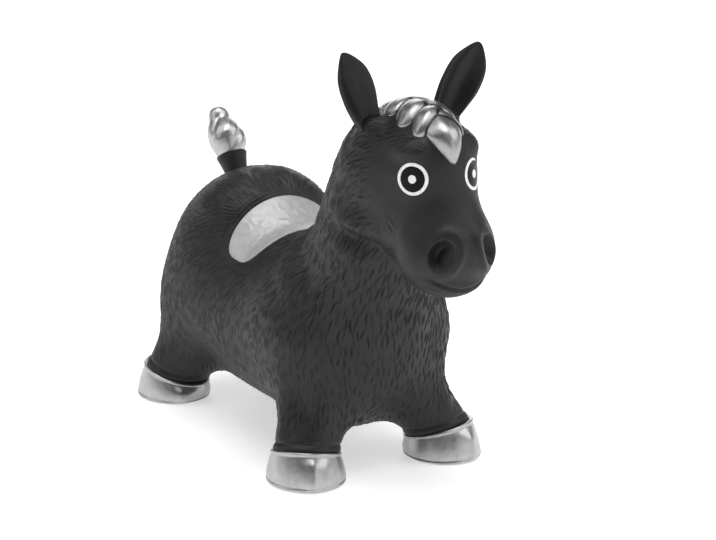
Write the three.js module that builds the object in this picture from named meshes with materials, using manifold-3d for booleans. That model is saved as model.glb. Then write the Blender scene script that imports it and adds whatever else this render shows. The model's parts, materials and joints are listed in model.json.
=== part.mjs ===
// A bouncy horse hopper: an inflated rubber horse that a child sits on and bounces.
// Millimetres, +Z up, +X forward, +Y to the horse's left.
// The origin is on the floor, under the middle of the horse.
// The skin is one smooth field of swellings and limbs, and each piece of hollow skin is cut from it.
// Places along the horse are measured from the middle of its hooves, and the last lines centre the whole.
import * as THREE from "three";
import { mergeVertices } from "three/addons/utils/BufferGeometryUtils.js";
import Module from "manifold-3d";

const wasm = await Module();
wasm.setup();

// Stance: hoof centres on the floor
const WHEELBASE = 340;
const TRACK = 176;

// Skin
const SKIN_WALL = 2.2;
const SEAM_GAP = 0.3; // between neighbouring pieces
const FLEX_GAP = 0.8; // between a ball and its dish, whose facets turn past each other
const FILM = 0.8; // thickness of a painted film
const FILM_GAP = 0.9; // from the smooth skin to a film, more than the skin's facets stand out
const BODY_BLEND = 34; // how softly the trunk, legs and neck run into each other
const FACE_BLEND = 22; // and the parts of the head

// Trunk: rump, barrel and chest, placed from the hooves
const RUMP_AHEAD = 58; // of the hind hooves
const RUMP_X = RUMP_AHEAD - WHEELBASE / 2;
const RUMP_Z = 167;
const RUMP_LENGTH = 222;
const RUMP_WIDTH = 202;
const RUMP_HEIGHT = 230;
const BARREL_BEHIND = 84; // its front end, from the front hooves
const BARREL_FRONT_X = WHEELBASE / 2 - BARREL_BEHIND;
const BARREL_RADIUS = 101;
const BELLY_CLEARANCE = 30;
const BARREL_Z = BELLY_CLEARANCE + BARREL_RADIUS;
const CHEST_BEHIND = 62; // from the front hooves
const CHEST_X = WHEELBASE / 2 - CHEST_BEHIND;
const CHEST_Z = 152;
const CHEST_LENGTH = 214;
const CHEST_WIDTH = 192;
const CHEST_HEIGHT = 214;

// Legs, from inside the trunk down to the hooves
const LEG_TOP_Z = 142;
const LEG_TOP_RADIUS = 46;
const LEG_TOP_IN = 50; // nearer the mid-plane than the hoof
const LEG_TOP_BACK = 40; // nearer the middle of the horse than the hoof
const ANKLE_RADIUS = 35;
const ANKLE_IN = 3;
const ANKLE_BACK = 5;
const LEG_STRETCH_TOP = 84; // height of the stretch of leg that squashes in a bounce
const LEG_COLUMN_RADIUS = 56; // the upright column that holds that stretch

// Hooves
const HOOF_HEIGHT = 31;
const HOOF_LENGTH = 96;
const HOOF_WIDTH = 88;
const HOOF_COLLAR_LENGTH = 80;
const HOOF_COLLAR_WIDTH = 76;
const COLLAR_TILT_SIDE = 10; // degrees, the collar's outer side up
const COLLAR_TILT_END = 13; // degrees, and its side away from the middle of the horse
const HOOF_WALL = 5;
const HOOF_SOLE = 6;
const HOOF_BEAD = 1.6; // the bead round the collar stands out by this much
const HOOF_TOE_RIDGE = 3;

// Neck, rising from the chest
const NECK_BASE_AHEAD = 42; // of the chest's centre
const NECK_BASE_RISE = 70;
const NECK_BASE_X = CHEST_X + NECK_BASE_AHEAD;
const NECK_BASE_Z = CHEST_Z + NECK_BASE_RISE;
const NECK_BASE_RADIUS = 80;
const NECK_REACH = 80; // forwards, from its base to its top
const NECK_RISE = 130;
const NECK_TOP_X = NECK_BASE_X + NECK_REACH;
const NECK_TOP_Z = NECK_BASE_Z + NECK_RISE;
const NECK_TOP_RADIUS = 71;

// Head, placed from the top of the neck
const SKULL_AHEAD = 36;
const SKULL_RISE = 20;
const SKULL_X = NECK_TOP_X + SKULL_AHEAD;
const SKULL_Z = NECK_TOP_Z + SKULL_RISE;
const SKULL_LENGTH = 128;
const SKULL_WIDTH = 92;
const SKULL_HEIGHT = 116;
const FACE_AHEAD = 16; // its upper end, from the skull's centre
const FACE_DROP = 12;
const FACE_TOP_X = SKULL_X + FACE_AHEAD;
const FACE_TOP_Z = SKULL_Z - FACE_DROP;
const FACE_TOP_RADIUS = 45;
const FACE_END_RADIUS = 42;
const MUZZLE_AHEAD = 48;
const MUZZLE_DROP = 85;
const MUZZLE_X = SKULL_X + MUZZLE_AHEAD;
const MUZZLE_Z = SKULL_Z - MUZZLE_DROP;
const MUZZLE_LENGTH = 98;
const MUZZLE_WIDTH = 104;
const MUZZLE_HEIGHT = 98;
const HEAD_SEAM_BEHIND = 40; // a point of the seam between neck and head, from the skull's centre
const HEAD_SEAM_DROP = 35;
const HEAD_SEAM_X = SKULL_X - HEAD_SEAM_BEHIND;
const HEAD_SEAM_Z = SKULL_Z - HEAD_SEAM_DROP;
const HEAD_SEAM_LEAN = 22; // degrees, its top further back

// The neck rocks on a ball inside the chest
const NOD_AHEAD = 20; // of the chest's centre
const NOD_RISE = 20;
const NOD_X = CHEST_X + NOD_AHEAD;
const NOD_Z = CHEST_Z + NOD_RISE;
const NOD_RADIUS = 116;
const WITHERS_BEHIND = 55; // a point of the plane that parts the neck from the back, from the neck's base
const WITHERS_RISE = 46;
const WITHERS_X = NECK_BASE_X - WITHERS_BEHIND;
const WITHERS_Z = NECK_BASE_Z + WITHERS_RISE;
const WITHERS_LEAN = 41; // degrees of that plane's normal above the horizontal

// Ears: leaves with a hollowed front, on ball roots
const EAR_BEHIND = 20; // from the skull's centre
const EAR_X = SKULL_X - EAR_BEHIND;
const EAR_Y = 45;
const EAR_LENGTH = 84;
const EAR_WIDTH = 44;
const EAR_THICK = 12;
const EAR_HOLLOW = 7;
const EAR_ROOT_RADIUS = 12;
const EAR_LIFT = 4; // the root ball's centre above the skin
const EAR_SPLAY = 22; // degrees outwards
const EAR_TURN = 8; // degrees that the hollow faces outwards

// Tail: a black stub on a ball root, and a silver tuft
const TAIL_BEHIND = 58; // from the rump's centre
const TAIL_X = RUMP_X - TAIL_BEHIND;
const TAIL_LEAN = 34; // degrees backwards
const TAIL_ROOT_RADIUS = 14;
const TAIL_STUB_RADIUS = 14;
const TAIL_STUB_HEIGHT = 21;
const TAIL_TUFT_LENGTH = 52;
const TAIL_TUFT_RADIUS = 22;
const TAIL_TIP_RADIUS = 9;
const TAIL_TWIST = 150; // degrees of the tuft's spiral
const TAIL_LIFT = 2;

// Saddle: a film over the dip of the back
const SADDLE_AHEAD = 100; // of the rump's centre
const SADDLE_X = RUMP_X + SADDLE_AHEAD;
const SADDLE_LENGTH = 72; // along the horse
const SADDLE_REACH = 50; // degrees down each flank, about the barrel

// Eyes: a white ring, a black disc and a white dot
const EYE_Y = 39;
const EYE_DROP = 8; // from the skull's centre
const EYE_Z = SKULL_Z - EYE_DROP;
const EYE_RADIUS = 17;
const EYE_DISC_RADIUS = 13.6;
const EYE_DOT_RADIUS = 4.4;

// Forelock: locks that overlap from the poll to the forehead
const LOCK_THICK = 7;
const LOCK_EDGE = 1.2;
const LOCK_CENTRE_DROP = 20; // rays to the locks fan out from this far below the skull's centre

// Air valve in the belly: a bush bonded into the skin and a stopper
const VALVE_X = 0;
const VALVE_BORE_RADIUS = 4.5;
const VALVE_BUSH_RADIUS = 11;
const VALVE_FLANGE_RADIUS = 17;
const VALVE_FLANGE_THICK = 3;
const VALVE_FLANGE_RISE = 7; // from the belly's lowest point to the flange
const VALVE_SPOUT_RADIUS = 8;
const VALVE_BUSH_LENGTH = 18;
const STOPPER_CLEARANCE = 0.3;
const STOPPER_HEAD_RADIUS = 10;
const STOPPER_HEAD_THICK = 3;
const STOPPER_STEM_LENGTH = 16;
const STOPPER_STEM_BEVEL = 1.5;
const STOPPER_TAB_LENGTH = 16;
const STOPPER_TAB_WIDTH = 7;

// Fineness of the facets
const TRUNK_CELL = 26;
const NECK_CELL = 25;
const HEAD_CELL = 18;
const LEG_CELL = 19;
const BALL_SIDES = 16;
const BIG_BALL_SIDES = 48;
const COLUMN_SIDES = 24;
const LATHE_SIDES = 20;
const HOOF_SIDES = 20;
const EAR_SIDES = 12;
const TUFT_SIDES = 18;
const TUFT_RINGS = 13;
const EYE_SIDES = 20;
const SADDLE_SIDES = 28;
const LOCK_SIDES = 12;

const SIDES = { left: 1, right: -1 };
const ENDS = { front: 1, hind: -1 };

const v3 = (x, y, z) => new THREE.Vector3(x, y, z);
const v2 = (x, y) => new THREE.Vector2(x, y);
const { degToRad, lerp, clamp, smoothstep } = THREE.MathUtils;
const upTilt = (degrees) => v3(Math.cos(degToRad(degrees)), 0, Math.sin(degToRad(degrees)));
const turns = (count) => Array.from({ length: count }, (_, i) => (2 * Math.PI * i) / count);

// Colours and finishes
function finish(color, roughness, metalness) {
  return new THREE.MeshStandardMaterial({ color, roughness, metalness });
}
const blackRubber = finish(0x242424, 0.55, 0);
const silverPaint = finish(0xb9b9b9, 0.35, 0.75);
const paleSilver = finish(0xcdcdcd, 0.5, 0.4);
const whitePaint = finish(0xeeeeee, 0.5, 0);
const glossBlack = finish(0x0c0c0c, 0.35, 0);
const greyVinyl = finish(0x6a6a6a, 0.5, 0);
const whiteVinyl = finish(0xe6e6e2, 0.45, 0);

// The field of the inflated skin: negative inside, zero on the smooth surface

// About the distance to an ellipsoid with the given length, width and height.
function swelling(centre, length, width, height) {
  const half = v3(length / 2, width / 2, height / 2);
  return (p) => {
    const q = p.clone().sub(centre).divide(half);
    const share = q.length();
    const slope = q.divide(half).length();
    return slope > 0 ? (share * (share - 1)) / slope : -Math.min(half.x, half.y, half.z);
  };
}

// The distance to a limb that tapers from one ball to another.
function limb(from, fromRadius, to, toRadius) {
  const along = to.clone().sub(from);
  return (p) => {
    const share = clamp(p.clone().sub(from).dot(along) / along.lengthSq(), 0, 1);
    const nearest = from.clone().addScaledVector(along, share);
    return p.distanceTo(nearest) - lerp(fromRadius, toRadius, share);
  };
}

// Two fields that run softly into each other over a width.
function blend(a, b, width) {
  return (p) => {
    const da = a(p);
    const db = b(p);
    const closeness = Math.max(width - Math.abs(da - db), 0) / width;
    return Math.min(da, db) - (closeness * closeness * width) / 4;
  };
}

function hoofCentre(end, side) {
  return v3((ENDS[end] * WHEELBASE) / 2, (SIDES[side] * TRACK) / 2, 0);
}

// From the hoof's centre to the leg's axis at the collar.
function ankleOffset(end, side) {
  return v3(-ENDS[end] * ANKLE_BACK, -SIDES[side] * ANKLE_IN, HOOF_HEIGHT);
}

function legField(end, side) {
  const hoof = hoofCentre(end, side);
  const top = v3(hoof.x - ENDS[end] * LEG_TOP_BACK, hoof.y - SIDES[side] * LEG_TOP_IN, LEG_TOP_Z);
  return limb(top, LEG_TOP_RADIUS, hoof.clone().add(ankleOffset(end, side)), ANKLE_RADIUS);
}

function trunkField() {
  const rump = swelling(v3(RUMP_X, 0, RUMP_Z), RUMP_LENGTH, RUMP_WIDTH, RUMP_HEIGHT);
  const chest = swelling(v3(CHEST_X, 0, CHEST_Z), CHEST_LENGTH, CHEST_WIDTH, CHEST_HEIGHT);
  const barrelFront = v3(BARREL_FRONT_X, 0, BARREL_Z);
  const barrel = limb(v3(RUMP_X, 0, BARREL_Z), BARREL_RADIUS, barrelFront, BARREL_RADIUS);
  let field = blend(blend(rump, chest, BODY_BLEND), barrel, BODY_BLEND);
  for (const end in ENDS) for (const side in SIDES) field = blend(field, legField(end, side), BODY_BLEND);
  return field;
}

function neckField() {
  const base = v3(NECK_BASE_X, 0, NECK_BASE_Z);
  return limb(base, NECK_BASE_RADIUS, v3(NECK_TOP_X, 0, NECK_TOP_Z), NECK_TOP_RADIUS);
}

function headField() {
  const skull = swelling(v3(SKULL_X, 0, SKULL_Z), SKULL_LENGTH, SKULL_WIDTH, SKULL_HEIGHT);
  const muzzleCentre = v3(MUZZLE_X, 0, MUZZLE_Z);
  const face = limb(v3(FACE_TOP_X, 0, FACE_TOP_Z), FACE_TOP_RADIUS, muzzleCentre, FACE_END_RADIUS);
  const muzzle = swelling(muzzleCentre, MUZZLE_LENGTH, MUZZLE_WIDTH, MUZZLE_HEIGHT);
  return blend(blend(skull, face, FACE_BLEND), muzzle, FACE_BLEND);
}

const skin = blend(blend(trunkField(), neckField(), BODY_BLEND), headField(), FACE_BLEND);

const SLOPE_STEP = 0.5;
const SETTLE_ROUNDS = 4;

function slopeOf(field, p) {
  const slope = v3(0, 0, 0);
  for (const axis of ["x", "y", "z"]) {
    const ahead = p.clone();
    const behind = p.clone();
    ahead[axis] += SLOPE_STEP;
    behind[axis] -= SLOPE_STEP;
    slope[axis] = (field(ahead) - field(behind)) / (2 * SLOPE_STEP);
  }
  return slope;
}

// Moves a point along the field's slope until the field there equals the level.
function settle(field, level, p) {
  for (let round = 0; round < SETTLE_ROUNDS; round++) {
    const slope = slopeOf(field, p);
    p.addScaledVector(slope, (level - field(p)) / slope.lengthSq());
  }
  return p;
}

// The point where a ray from inside the horse leaves the skin, and the skin's outward normal there.
const RAY_STEP = 2;
function leaveSkin(from, direction) {
  const p = from.clone();
  while (skin(p) < 0) p.addScaledVector(direction, RAY_STEP);
  for (let round = 0; round < SETTLE_ROUNDS; round++) {
    const rise = slopeOf(skin, p).dot(direction);
    p.addScaledVector(direction, -skin(p) / rise);
  }
  return { point: p, normal: slopeOf(skin, p).normalize() };
}

// Solids and cuts

const WELD = 1e-4;
function solidOf(geometry) {
  const bare = geometry.clone();
  for (const name of Object.keys(bare.attributes)) if (name !== "position") bare.deleteAttribute(name);
  const welded = mergeVertices(bare, WELD);
  const mesh = new wasm.Mesh({
    numProp: 3,
    vertProperties: new Float32Array(welded.attributes.position.array),
    triVerts: new Uint32Array(welded.index.array),
  });
  return new wasm.Manifold(mesh);
}

function geometryOf(solid) {
  const { numProp, vertProperties, triVerts } = solid.getMesh();
  const geometry = new THREE.BufferGeometry();
  geometry.setAttribute("position", new THREE.BufferAttribute(vertProperties, numProp));
  return geometry.setIndex(new THREE.BufferAttribute(triVerts, 1));
}

// All the room below a plane through a point, with the plane's normal pointing out of it.
const FAR = 2000;
function roomBelow(point, normal) {
  const slab = new THREE.BoxGeometry(FAR, FAR, FAR).translate(0, 0, -FAR / 2);
  const turn = new THREE.Quaternion().setFromUnitVectors(v3(0, 0, 1), normal);
  return solidOf(slab.applyQuaternion(turn).translate(...point));
}

function ball(centre, radius, sides = BALL_SIDES) {
  const sphere = new THREE.SphereGeometry(radius, sides, sides / 2).rotateX(Math.PI / 2);
  return solidOf(sphere.translate(...centre));
}

function column(centre, radius, bottom, top, sides) {
  const cylinder = new THREE.CylinderGeometry(radius, radius, top - bottom, sides).rotateX(Math.PI / 2);
  return solidOf(cylinder.translate(centre.x, centre.y, (top + bottom) / 2));
}

// The closed surface where a field equals a level, as a net of quads over cubic cells.
function surfaceNet(field, level, room, cell) {
  const n = room.getSize(v3()).divideScalar(cell).ceil().addScalar(1);
  const at = (place) => v3(...place).multiplyScalar(cell).add(room.min);
  const index = ([i, j, k]) => (k * n.y + j) * n.x + i;
  const plus = (a, b) => a.map((value, axis) => value + b[axis]);
  const minus = (a, b) => a.map((value, axis) => value - b[axis]);
  const grid = [];
  for (let k = 0; k < n.z; k++)
    for (let j = 0; j < n.y; j++)
      for (let i = 0; i < n.x; i++) grid.push([i, j, k]);
  const values = grid.map((place) => field(at(place)) - level);
  const crosses = (a, b) => values[index(a)] < 0 !== values[index(b)] < 0;
  const steps = [v3(1, 0, 0), v3(0, 1, 0), v3(0, 0, 1)].map((step) => step.toArray());
  const corners = [0, 1, 2, 3, 4, 5, 6, 7].map((c) => [c & 1, (c >> 1) & 1, c >> 2]);
  const edgesFrom = (a) => steps.filter((step, axis) => a[axis] === 0).map((step) => [a, plus(a, step)]);
  const edges = corners.flatMap(edgesFrom);
  const cells = grid.filter(([i, j, k]) => i < n.x - 1 && j < n.y - 1 && k < n.z - 1);
  const positions = [];
  const vertexOf = new Map();
  for (const place of cells) {
    const sum = v3(0, 0, 0);
    let crossings = 0;
    for (const [a, b] of edges.map((edge) => edge.map((corner) => plus(place, corner)))) {
      if (!crosses(a, b)) continue;
      const share = values[index(a)] / (values[index(a)] - values[index(b)]);
      sum.add(at(a).lerp(at(b), share));
      crossings += 1;
    }
    if (!crossings) continue;
    vertexOf.set(index(place), positions.length);
    positions.push(settle(field, level, sum.divideScalar(crossings)));
  }
  const faces = [];
  for (const place of cells)
    steps.forEach((step, axis) => {
      if (!crosses(place, plus(place, step))) return;
      const u = steps[(axis + 1) % 3];
      const w = steps[(axis + 2) % 3];
      const ring = [place, minus(place, u), minus(minus(place, u), w), minus(place, w)];
      if (values[index(place)] >= 0) ring.reverse();
      const [a, b, c, d] = ring.map((cellPlace) => vertexOf.get(index(cellPlace)));
      faces.push(a, b, c, a, c, d);
    });
  return new THREE.BufferGeometry().setFromPoints(positions).setIndex(faces);
}

// The box that holds the whole skin, with room to spare.
const ROOM_MARGIN = 30;
function skinRoom() {
  const face = Math.max(MUZZLE_X + MUZZLE_LENGTH / 2, SKULL_X + SKULL_LENGTH / 2);
  const front = Math.max(face, WHEELBASE / 2 + ANKLE_RADIUS);
  const back = Math.min(RUMP_X - RUMP_LENGTH / 2, RUMP_X - BARREL_RADIUS, -WHEELBASE / 2 - ANKLE_RADIUS);
  const wide = Math.max(RUMP_WIDTH, CHEST_WIDTH, 2 * BARREL_RADIUS, TRACK + 2 * LEG_TOP_RADIUS) / 2;
  const top = Math.max(SKULL_Z + SKULL_HEIGHT / 2, NECK_TOP_Z + NECK_TOP_RADIUS, RUMP_Z + RUMP_HEIGHT / 2);
  const room = new THREE.Box3(v3(back, -wide, HOOF_HEIGHT - ANKLE_RADIUS), v3(front, wide, top));
  return room.expandByScalar(ROOM_MARGIN);
}

// The whole inflated skin as a hollow shell, with facets of about one cell.
const shells = new Map();
function skinShell(cell) {
  if (!shells.has(cell)) {
    const outside = solidOf(surfaceNet(skin, 0, skinRoom(), cell));
    shells.set(cell, outside.subtract(solidOf(surfaceNet(skin, -SKIN_WALL, skinRoom(), cell))));
  }
  return shells.get(cell);
}

// Lofts: closed solids through rings of points

// The faces between rings of equally many points, each ring joined to the next.
function bands(rings, closed) {
  const count = rings[0].length;
  const faces = [];
  const last = closed ? rings.length : rings.length - 1;
  for (let r = 0; r < last; r++)
    for (let i = 0; i < count; i++) {
      const next = (i + 1) % count;
      const above = ((r + 1) % rings.length) * count;
      faces.push(r * count + i, r * count + next, above + next, r * count + i, above + next, above + i);
    }
  return faces;
}

// A solid through rings from bottom to top, with a point in the middle of the first and the last.
function loft(rings) {
  const count = rings[0].length;
  const faces = bands(rings, false);
  const middle = (ring) => ring.reduce((sum, p) => sum.add(p), v3(0, 0, 0)).divideScalar(count);
  const bottom = rings.length * count;
  const topRing = bottom - count;
  for (let i = 0; i < count; i++) {
    const next = (i + 1) % count;
    faces.push(bottom, next, i, bottom + 1, topRing + i, topRing + next);
  }
  const points = [...rings.flat(), middle(rings[0]), middle(rings.at(-1))];
  return new THREE.BufferGeometry().setFromPoints(points).setIndex(faces);
}

// A ring-shaped solid: its rings of points follow each other round its wall.
function hoop(rings) {
  return new THREE.BufferGeometry().setFromPoints(rings.flat()).setIndex(bands(rings, true));
}

// Points at a height above the skin, round a circle that is a share of the unit disc.
// rayAt gives the ray to the skin through a place in that disc.
function skinRing(rayAt, share, height, sides) {
  return turns(sides).map((angle) => {
    const { from, direction } = rayAt(share * Math.cos(angle), share * Math.sin(angle));
    const { point, normal } = leaveSkin(from, direction);
    return point.addScaledVector(normal, height);
  });
}

// A pad on the skin, between two heights that may vary from the disc's middle to its rim.
// A gap makes it the room round that pad, to trim facets of the skin that would touch it.
const ROOM_SHARE = 1.02; // of the pad's outline
const ROOM_HEADROOM = 5;
function skinPad(rayAt, low, high, shares, sides, gap = 0) {
  const reach = gap > 0 ? [...shares, ROOM_SHARE] : shares;
  const bottom = reach.map((share) => skinRing(rayAt, share, low - gap, sides));
  const headroom = gap > 0 ? ROOM_HEADROOM : 0;
  const top = reach.map((share) => skinRing(rayAt, share, high(share) + headroom, sides));
  return loft([...bottom, ...top.reverse()]);
}

// Pieces of skin

// The room in front of the withers and outside the ball on which the neck rocks.
function neckRoom(gap) {
  const front = roomBelow(v3(WITHERS_X, 0, WITHERS_Z), upTilt(WITHERS_LEAN).negate());
  return front.subtract(ball(v3(NOD_X, 0, NOD_Z), NOD_RADIUS + gap, BIG_BALL_SIDES));
}

function headRoom(gap) {
  const normal = upTilt(HEAD_SEAM_LEAN);
  const point = v3(HEAD_SEAM_X, 0, HEAD_SEAM_Z).addScaledVector(normal, gap);
  return roomBelow(point, normal.negate());
}

// The rise of a collar's plane for each millimetre along x and y.
function collarSlopes(end, side) {
  const alongX = Math.tan(degToRad(COLLAR_TILT_END));
  const alongY = Math.tan(degToRad(COLLAR_TILT_SIDE));
  return v2(ENDS[end] * alongX, SIDES[side] * alongY);
}

// The room of a hoof, below the plane of its collar.
function hoofRoom(end, side, gap) {
  const slopes = collarSlopes(end, side);
  const normal = v3(-slopes.x, -slopes.y, 1).normalize();
  const collar = hoofCentre(end, side).add(ankleOffset(end, side));
  return roomBelow(collar.addScaledVector(normal, gap), normal);
}

function legRoom(end, side, gap) {
  return column(hoofCentre(end, side), LEG_COLUMN_RADIUS + gap, -FAR, LEG_STRETCH_TOP + gap, COLUMN_SIDES);
}

function legSkin(end, side) {
  const stretch = skinShell(LEG_CELL).intersect(legRoom(end, side, 0));
  return stretch.subtract(hoofRoom(end, side, SEAM_GAP));
}

// The centre of the tail's root ball, just above the skin of the rump.
function tailRoot() {
  const { point, normal } = leaveSkin(v3(TAIL_X, 0, RUMP_Z), v3(0, 0, 1));
  return point.addScaledVector(normal, TAIL_LIFT);
}

function earRoot(side) {
  const { point, normal } = leaveSkin(v3(EAR_X, SIDES[side] * EAR_Y, NECK_TOP_Z), v3(0, 0, 1));
  return point.addScaledVector(normal, EAR_LIFT);
}

// The belly's skin at the air valve.
function valvePoint() {
  return leaveSkin(v3(VALVE_X, 0, BARREL_Z), v3(0, 0, -1)).point;
}

function trunkSkin() {
  let shell = skinShell(TRUNK_CELL).subtract(neckRoom(0));
  for (const end in ENDS) for (const side in SIDES) shell = shell.subtract(legRoom(end, side, SEAM_GAP));
  shell = shell.subtract(ball(tailRoot(), TAIL_ROOT_RADIUS + FLEX_GAP));
  shell = shell.subtract(solidOf(saddle(SEAM_GAP)));
  const valve = valvePoint();
  const valveTop = valve.z + VALVE_BUSH_LENGTH;
  return shell.subtract(column(valve, VALVE_BUSH_RADIUS + SEAM_GAP, -FAR, valveTop, LATHE_SIDES));
}

function neckSkin() {
  return skinShell(NECK_CELL).intersect(neckRoom(FLEX_GAP)).subtract(headRoom(0));
}

function headSkin() {
  let shell = skinShell(HEAD_CELL).intersect(headRoom(SEAM_GAP));
  for (const side in SIDES) shell = shell.subtract(ball(earRoot(side), EAR_ROOT_RADIUS + FLEX_GAP));
  return shell.subtract(forelock(SEAM_GAP));
}

// Hooves

// A ring of the hoof at a share of its height: an oval with a ridge at the toe, inset from the outside.
const TOE_SHARPNESS = 8;
function hoofRing(end, side, rise, inset) {
  const halfLength = lerp(HOOF_LENGTH, HOOF_COLLAR_LENGTH, rise) / 2 - inset;
  const halfWidth = lerp(HOOF_WIDTH, HOOF_COLLAR_WIDTH, rise) / 2 - inset;
  const slopes = collarSlopes(end, side);
  const lean = ankleOffset(end, side).multiplyScalar(rise);
  return turns(HOOF_SIDES).map((angle) => {
    const ridge = HOOF_TOE_RIDGE * Math.max(0, Math.cos(angle)) ** TOE_SHARPNESS;
    const x = (halfLength + ridge) * Math.cos(angle);
    const y = halfWidth * Math.sin(angle);
    return v3(x, y, rise * slopes.dot(v2(x, y))).add(lean);
  });
}

// Rises of the hoof's outside, as shares of its height.
const HOOF_EDGE_RISE = 0.1;
const HOOF_MIDDLE_RISE = 0.5;
const HOOF_BEAD_RISE = 0.86;
const HOOF_BEAD_FULL_RISE = 0.91;
function hoof(end, side) {
  const ring = (rise, inset) => hoofRing(end, side, rise, inset);
  const rings = [
    ring(0, HOOF_BEAD),
    ring(HOOF_EDGE_RISE, 0),
    ring(HOOF_MIDDLE_RISE, 0),
    ring(HOOF_BEAD_RISE, 0),
    ring(HOOF_BEAD_FULL_RISE, -HOOF_BEAD),
    ring(1, -HOOF_BEAD / 2),
    ring(1, HOOF_WALL),
    ring(HOOF_SOLE / HOOF_HEIGHT, HOOF_WALL),
  ];
  return loft(rings).translate(...hoofCentre(end, side));
}

// Ears

// Width and thickness of the leaf along its length, all as shares.
const EAR_SECTIONS = [
  { along: 0.05, width: 0.36, thick: 1.3 },
  { along: 0.17, width: 0.56, thick: 1.75 },
  { along: 0.38, width: 0.84, thick: 1.2 },
  { along: 0.58, width: 1, thick: 0.85 },
  { along: 0.76, width: 0.84, thick: 0.7 },
  { along: 0.9, width: 0.5, thick: 0.5 },
  { along: 1, width: 0.12, thick: 0.3 },
];

// A leaf that stands along +Z, with its hollow facing +X.
function earLeaf() {
  const rings = EAR_SECTIONS.map(({ along, width, thick }) =>
    turns(EAR_SIDES).map((angle) => {
      const front = Math.max(0, Math.cos(angle));
      const bulge = (Math.cos(angle) * EAR_THICK * thick) / 2;
      const hollow = EAR_HOLLOW * Math.sin(Math.PI * along) * front ** 2;
      return v3(bulge - hollow, (Math.sin(angle) * width * EAR_WIDTH) / 2, along * EAR_LENGTH);
    }),
  );
  return loft(rings);
}

function ear(side) {
  const leaf = earLeaf().rotateZ(degToRad(SIDES[side] * EAR_TURN));
  leaf.rotateX(degToRad(-SIDES[side] * EAR_SPLAY)).translate(...earRoot(side));
  return solidOf(leaf).add(ball(earRoot(side), EAR_ROOT_RADIUS));
}

// Tail

function placeTail(geometry) {
  return geometry.rotateY(degToRad(-TAIL_LEAN)).translate(...tailRoot());
}

const STUB_FOOT_SHARE = 0.9; // the stub's foot inside its root ball
function tailStub() {
  const foot = TAIL_ROOT_RADIUS * STUB_FOOT_SHARE;
  const profile = [v2(0, 0), v2(foot, 0), v2(TAIL_STUB_RADIUS, TAIL_STUB_HEIGHT), v2(0, TAIL_STUB_HEIGHT)];
  const stub = new THREE.LatheGeometry(profile, LATHE_SIDES).rotateX(Math.PI / 2);
  return solidOf(placeTail(stub)).add(ball(tailRoot(), TAIL_ROOT_RADIUS));
}

// The tuft swells, is wound with a spiral of lobes, and ends in a small round tip.
const TUFT_LOBES = 3;
const TUFT_LOBE_DEPTH = 0.09;
const TUFT_SWELL_END = 0.62; // shares of the tuft's length
const TUFT_TAPER_START = 0.4;
const TUFT_TAPER_END = 0.8;
const TUFT_TIP_START = 0.84;
const TUFT_TIP_CLOSE = 0.98; // of the tip's round end, so that the last ring is not a point
function tuftRadius(along) {
  const fullness = Math.sin(Math.PI * Math.min(along / TUFT_SWELL_END, 1));
  const swell = lerp(TAIL_STUB_RADIUS, TAIL_TUFT_RADIUS, fullness);
  const radius = lerp(swell, TAIL_TIP_RADIUS, smoothstep(along, TUFT_TAPER_START, TUFT_TAPER_END));
  const intoTip = Math.max(0, (along - TUFT_TIP_START) / (1 - TUFT_TIP_START)) * TUFT_TIP_CLOSE;
  return radius * Math.sqrt(1 - intoTip ** 2);
}

function tailTuft() {
  const rings = Array.from({ length: TUFT_RINGS }, (_, i) => {
    const along = i / (TUFT_RINGS - 1);
    const depth = TUFT_LOBE_DEPTH * Math.sin(Math.PI * along);
    return turns(TUFT_SIDES).map((angle) => {
      const lobe = Math.cos(TUFT_LOBES * (angle - degToRad(TAIL_TWIST) * along));
      const radius = tuftRadius(along) * (1 + depth * lobe);
      const height = TAIL_STUB_HEIGHT + SEAM_GAP + along * TAIL_TUFT_LENGTH;
      return v3(radius * Math.cos(angle), radius * Math.sin(angle), height);
    });
  });
  return placeTail(loft(rings));
}

// Films and locks on the skin

// Rays fan out from the barrel's axis, over the back and down both flanks.
const SADDLE_SHARES = [0.2, 0.4, 0.6, 0.8, 1];
const SADDLE_SQUARENESS = 4; // two for an ellipse, more for a rounded rectangle
function saddle(gap) {
  const rayAt = (u, w) => {
    const round = Math.hypot(u, w);
    const powers = Math.abs(u) ** SADDLE_SQUARENESS + Math.abs(w) ** SADDLE_SQUARENESS;
    const stretch = round / powers ** (1 / SADDLE_SQUARENESS);
    const angle = degToRad(SADDLE_REACH) * w * stretch;
    const from = v3(SADDLE_X + (SADDLE_LENGTH / 2) * u * stretch, 0, BARREL_Z);
    return { from, direction: v3(0, Math.sin(angle), Math.cos(angle)) };
  };
  return skinPad(rayAt, FILM_GAP, () => FILM_GAP + FILM, SADDLE_SHARES, SADDLE_SIDES, gap);
}

// Rays to the face turn outwards until one meets the skin as far from the mid-plane as the eye.
const EYE_SEARCH_STEP = 0.01;
function eyePlace(side) {
  let turn = 0;
  let place;
  do {
    turn += EYE_SEARCH_STEP;
    const aim = v3(Math.cos(turn), SIDES[side] * Math.sin(turn), 0);
    place = leaveSkin(v3(FACE_TOP_X, 0, EYE_Z), aim);
  } while (Math.abs(place.point.y) < EYE_Y && turn < Math.PI / 2);
  return place;
}

const EYE_RAY_DEPTH = 12; // rays to the eye start this far under the skin
function eyeRays(side, radius) {
  const { point, normal } = eyePlace(side);
  const across = v3(0, 0, 1).cross(normal).normalize();
  const up = normal.clone().cross(across);
  const start = point.clone().addScaledVector(normal, -EYE_RAY_DEPTH);
  return (u, w) => {
    const from = start.clone().addScaledVector(across, u * radius).addScaledVector(up, w * radius);
    return { from, direction: normal };
  };
}

function eyeDot(side) {
  return skinPad(eyeRays(side, EYE_DOT_RADIUS), FILM_GAP, () => FILM_GAP + FILM, [1], EYE_SIDES);
}

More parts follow.
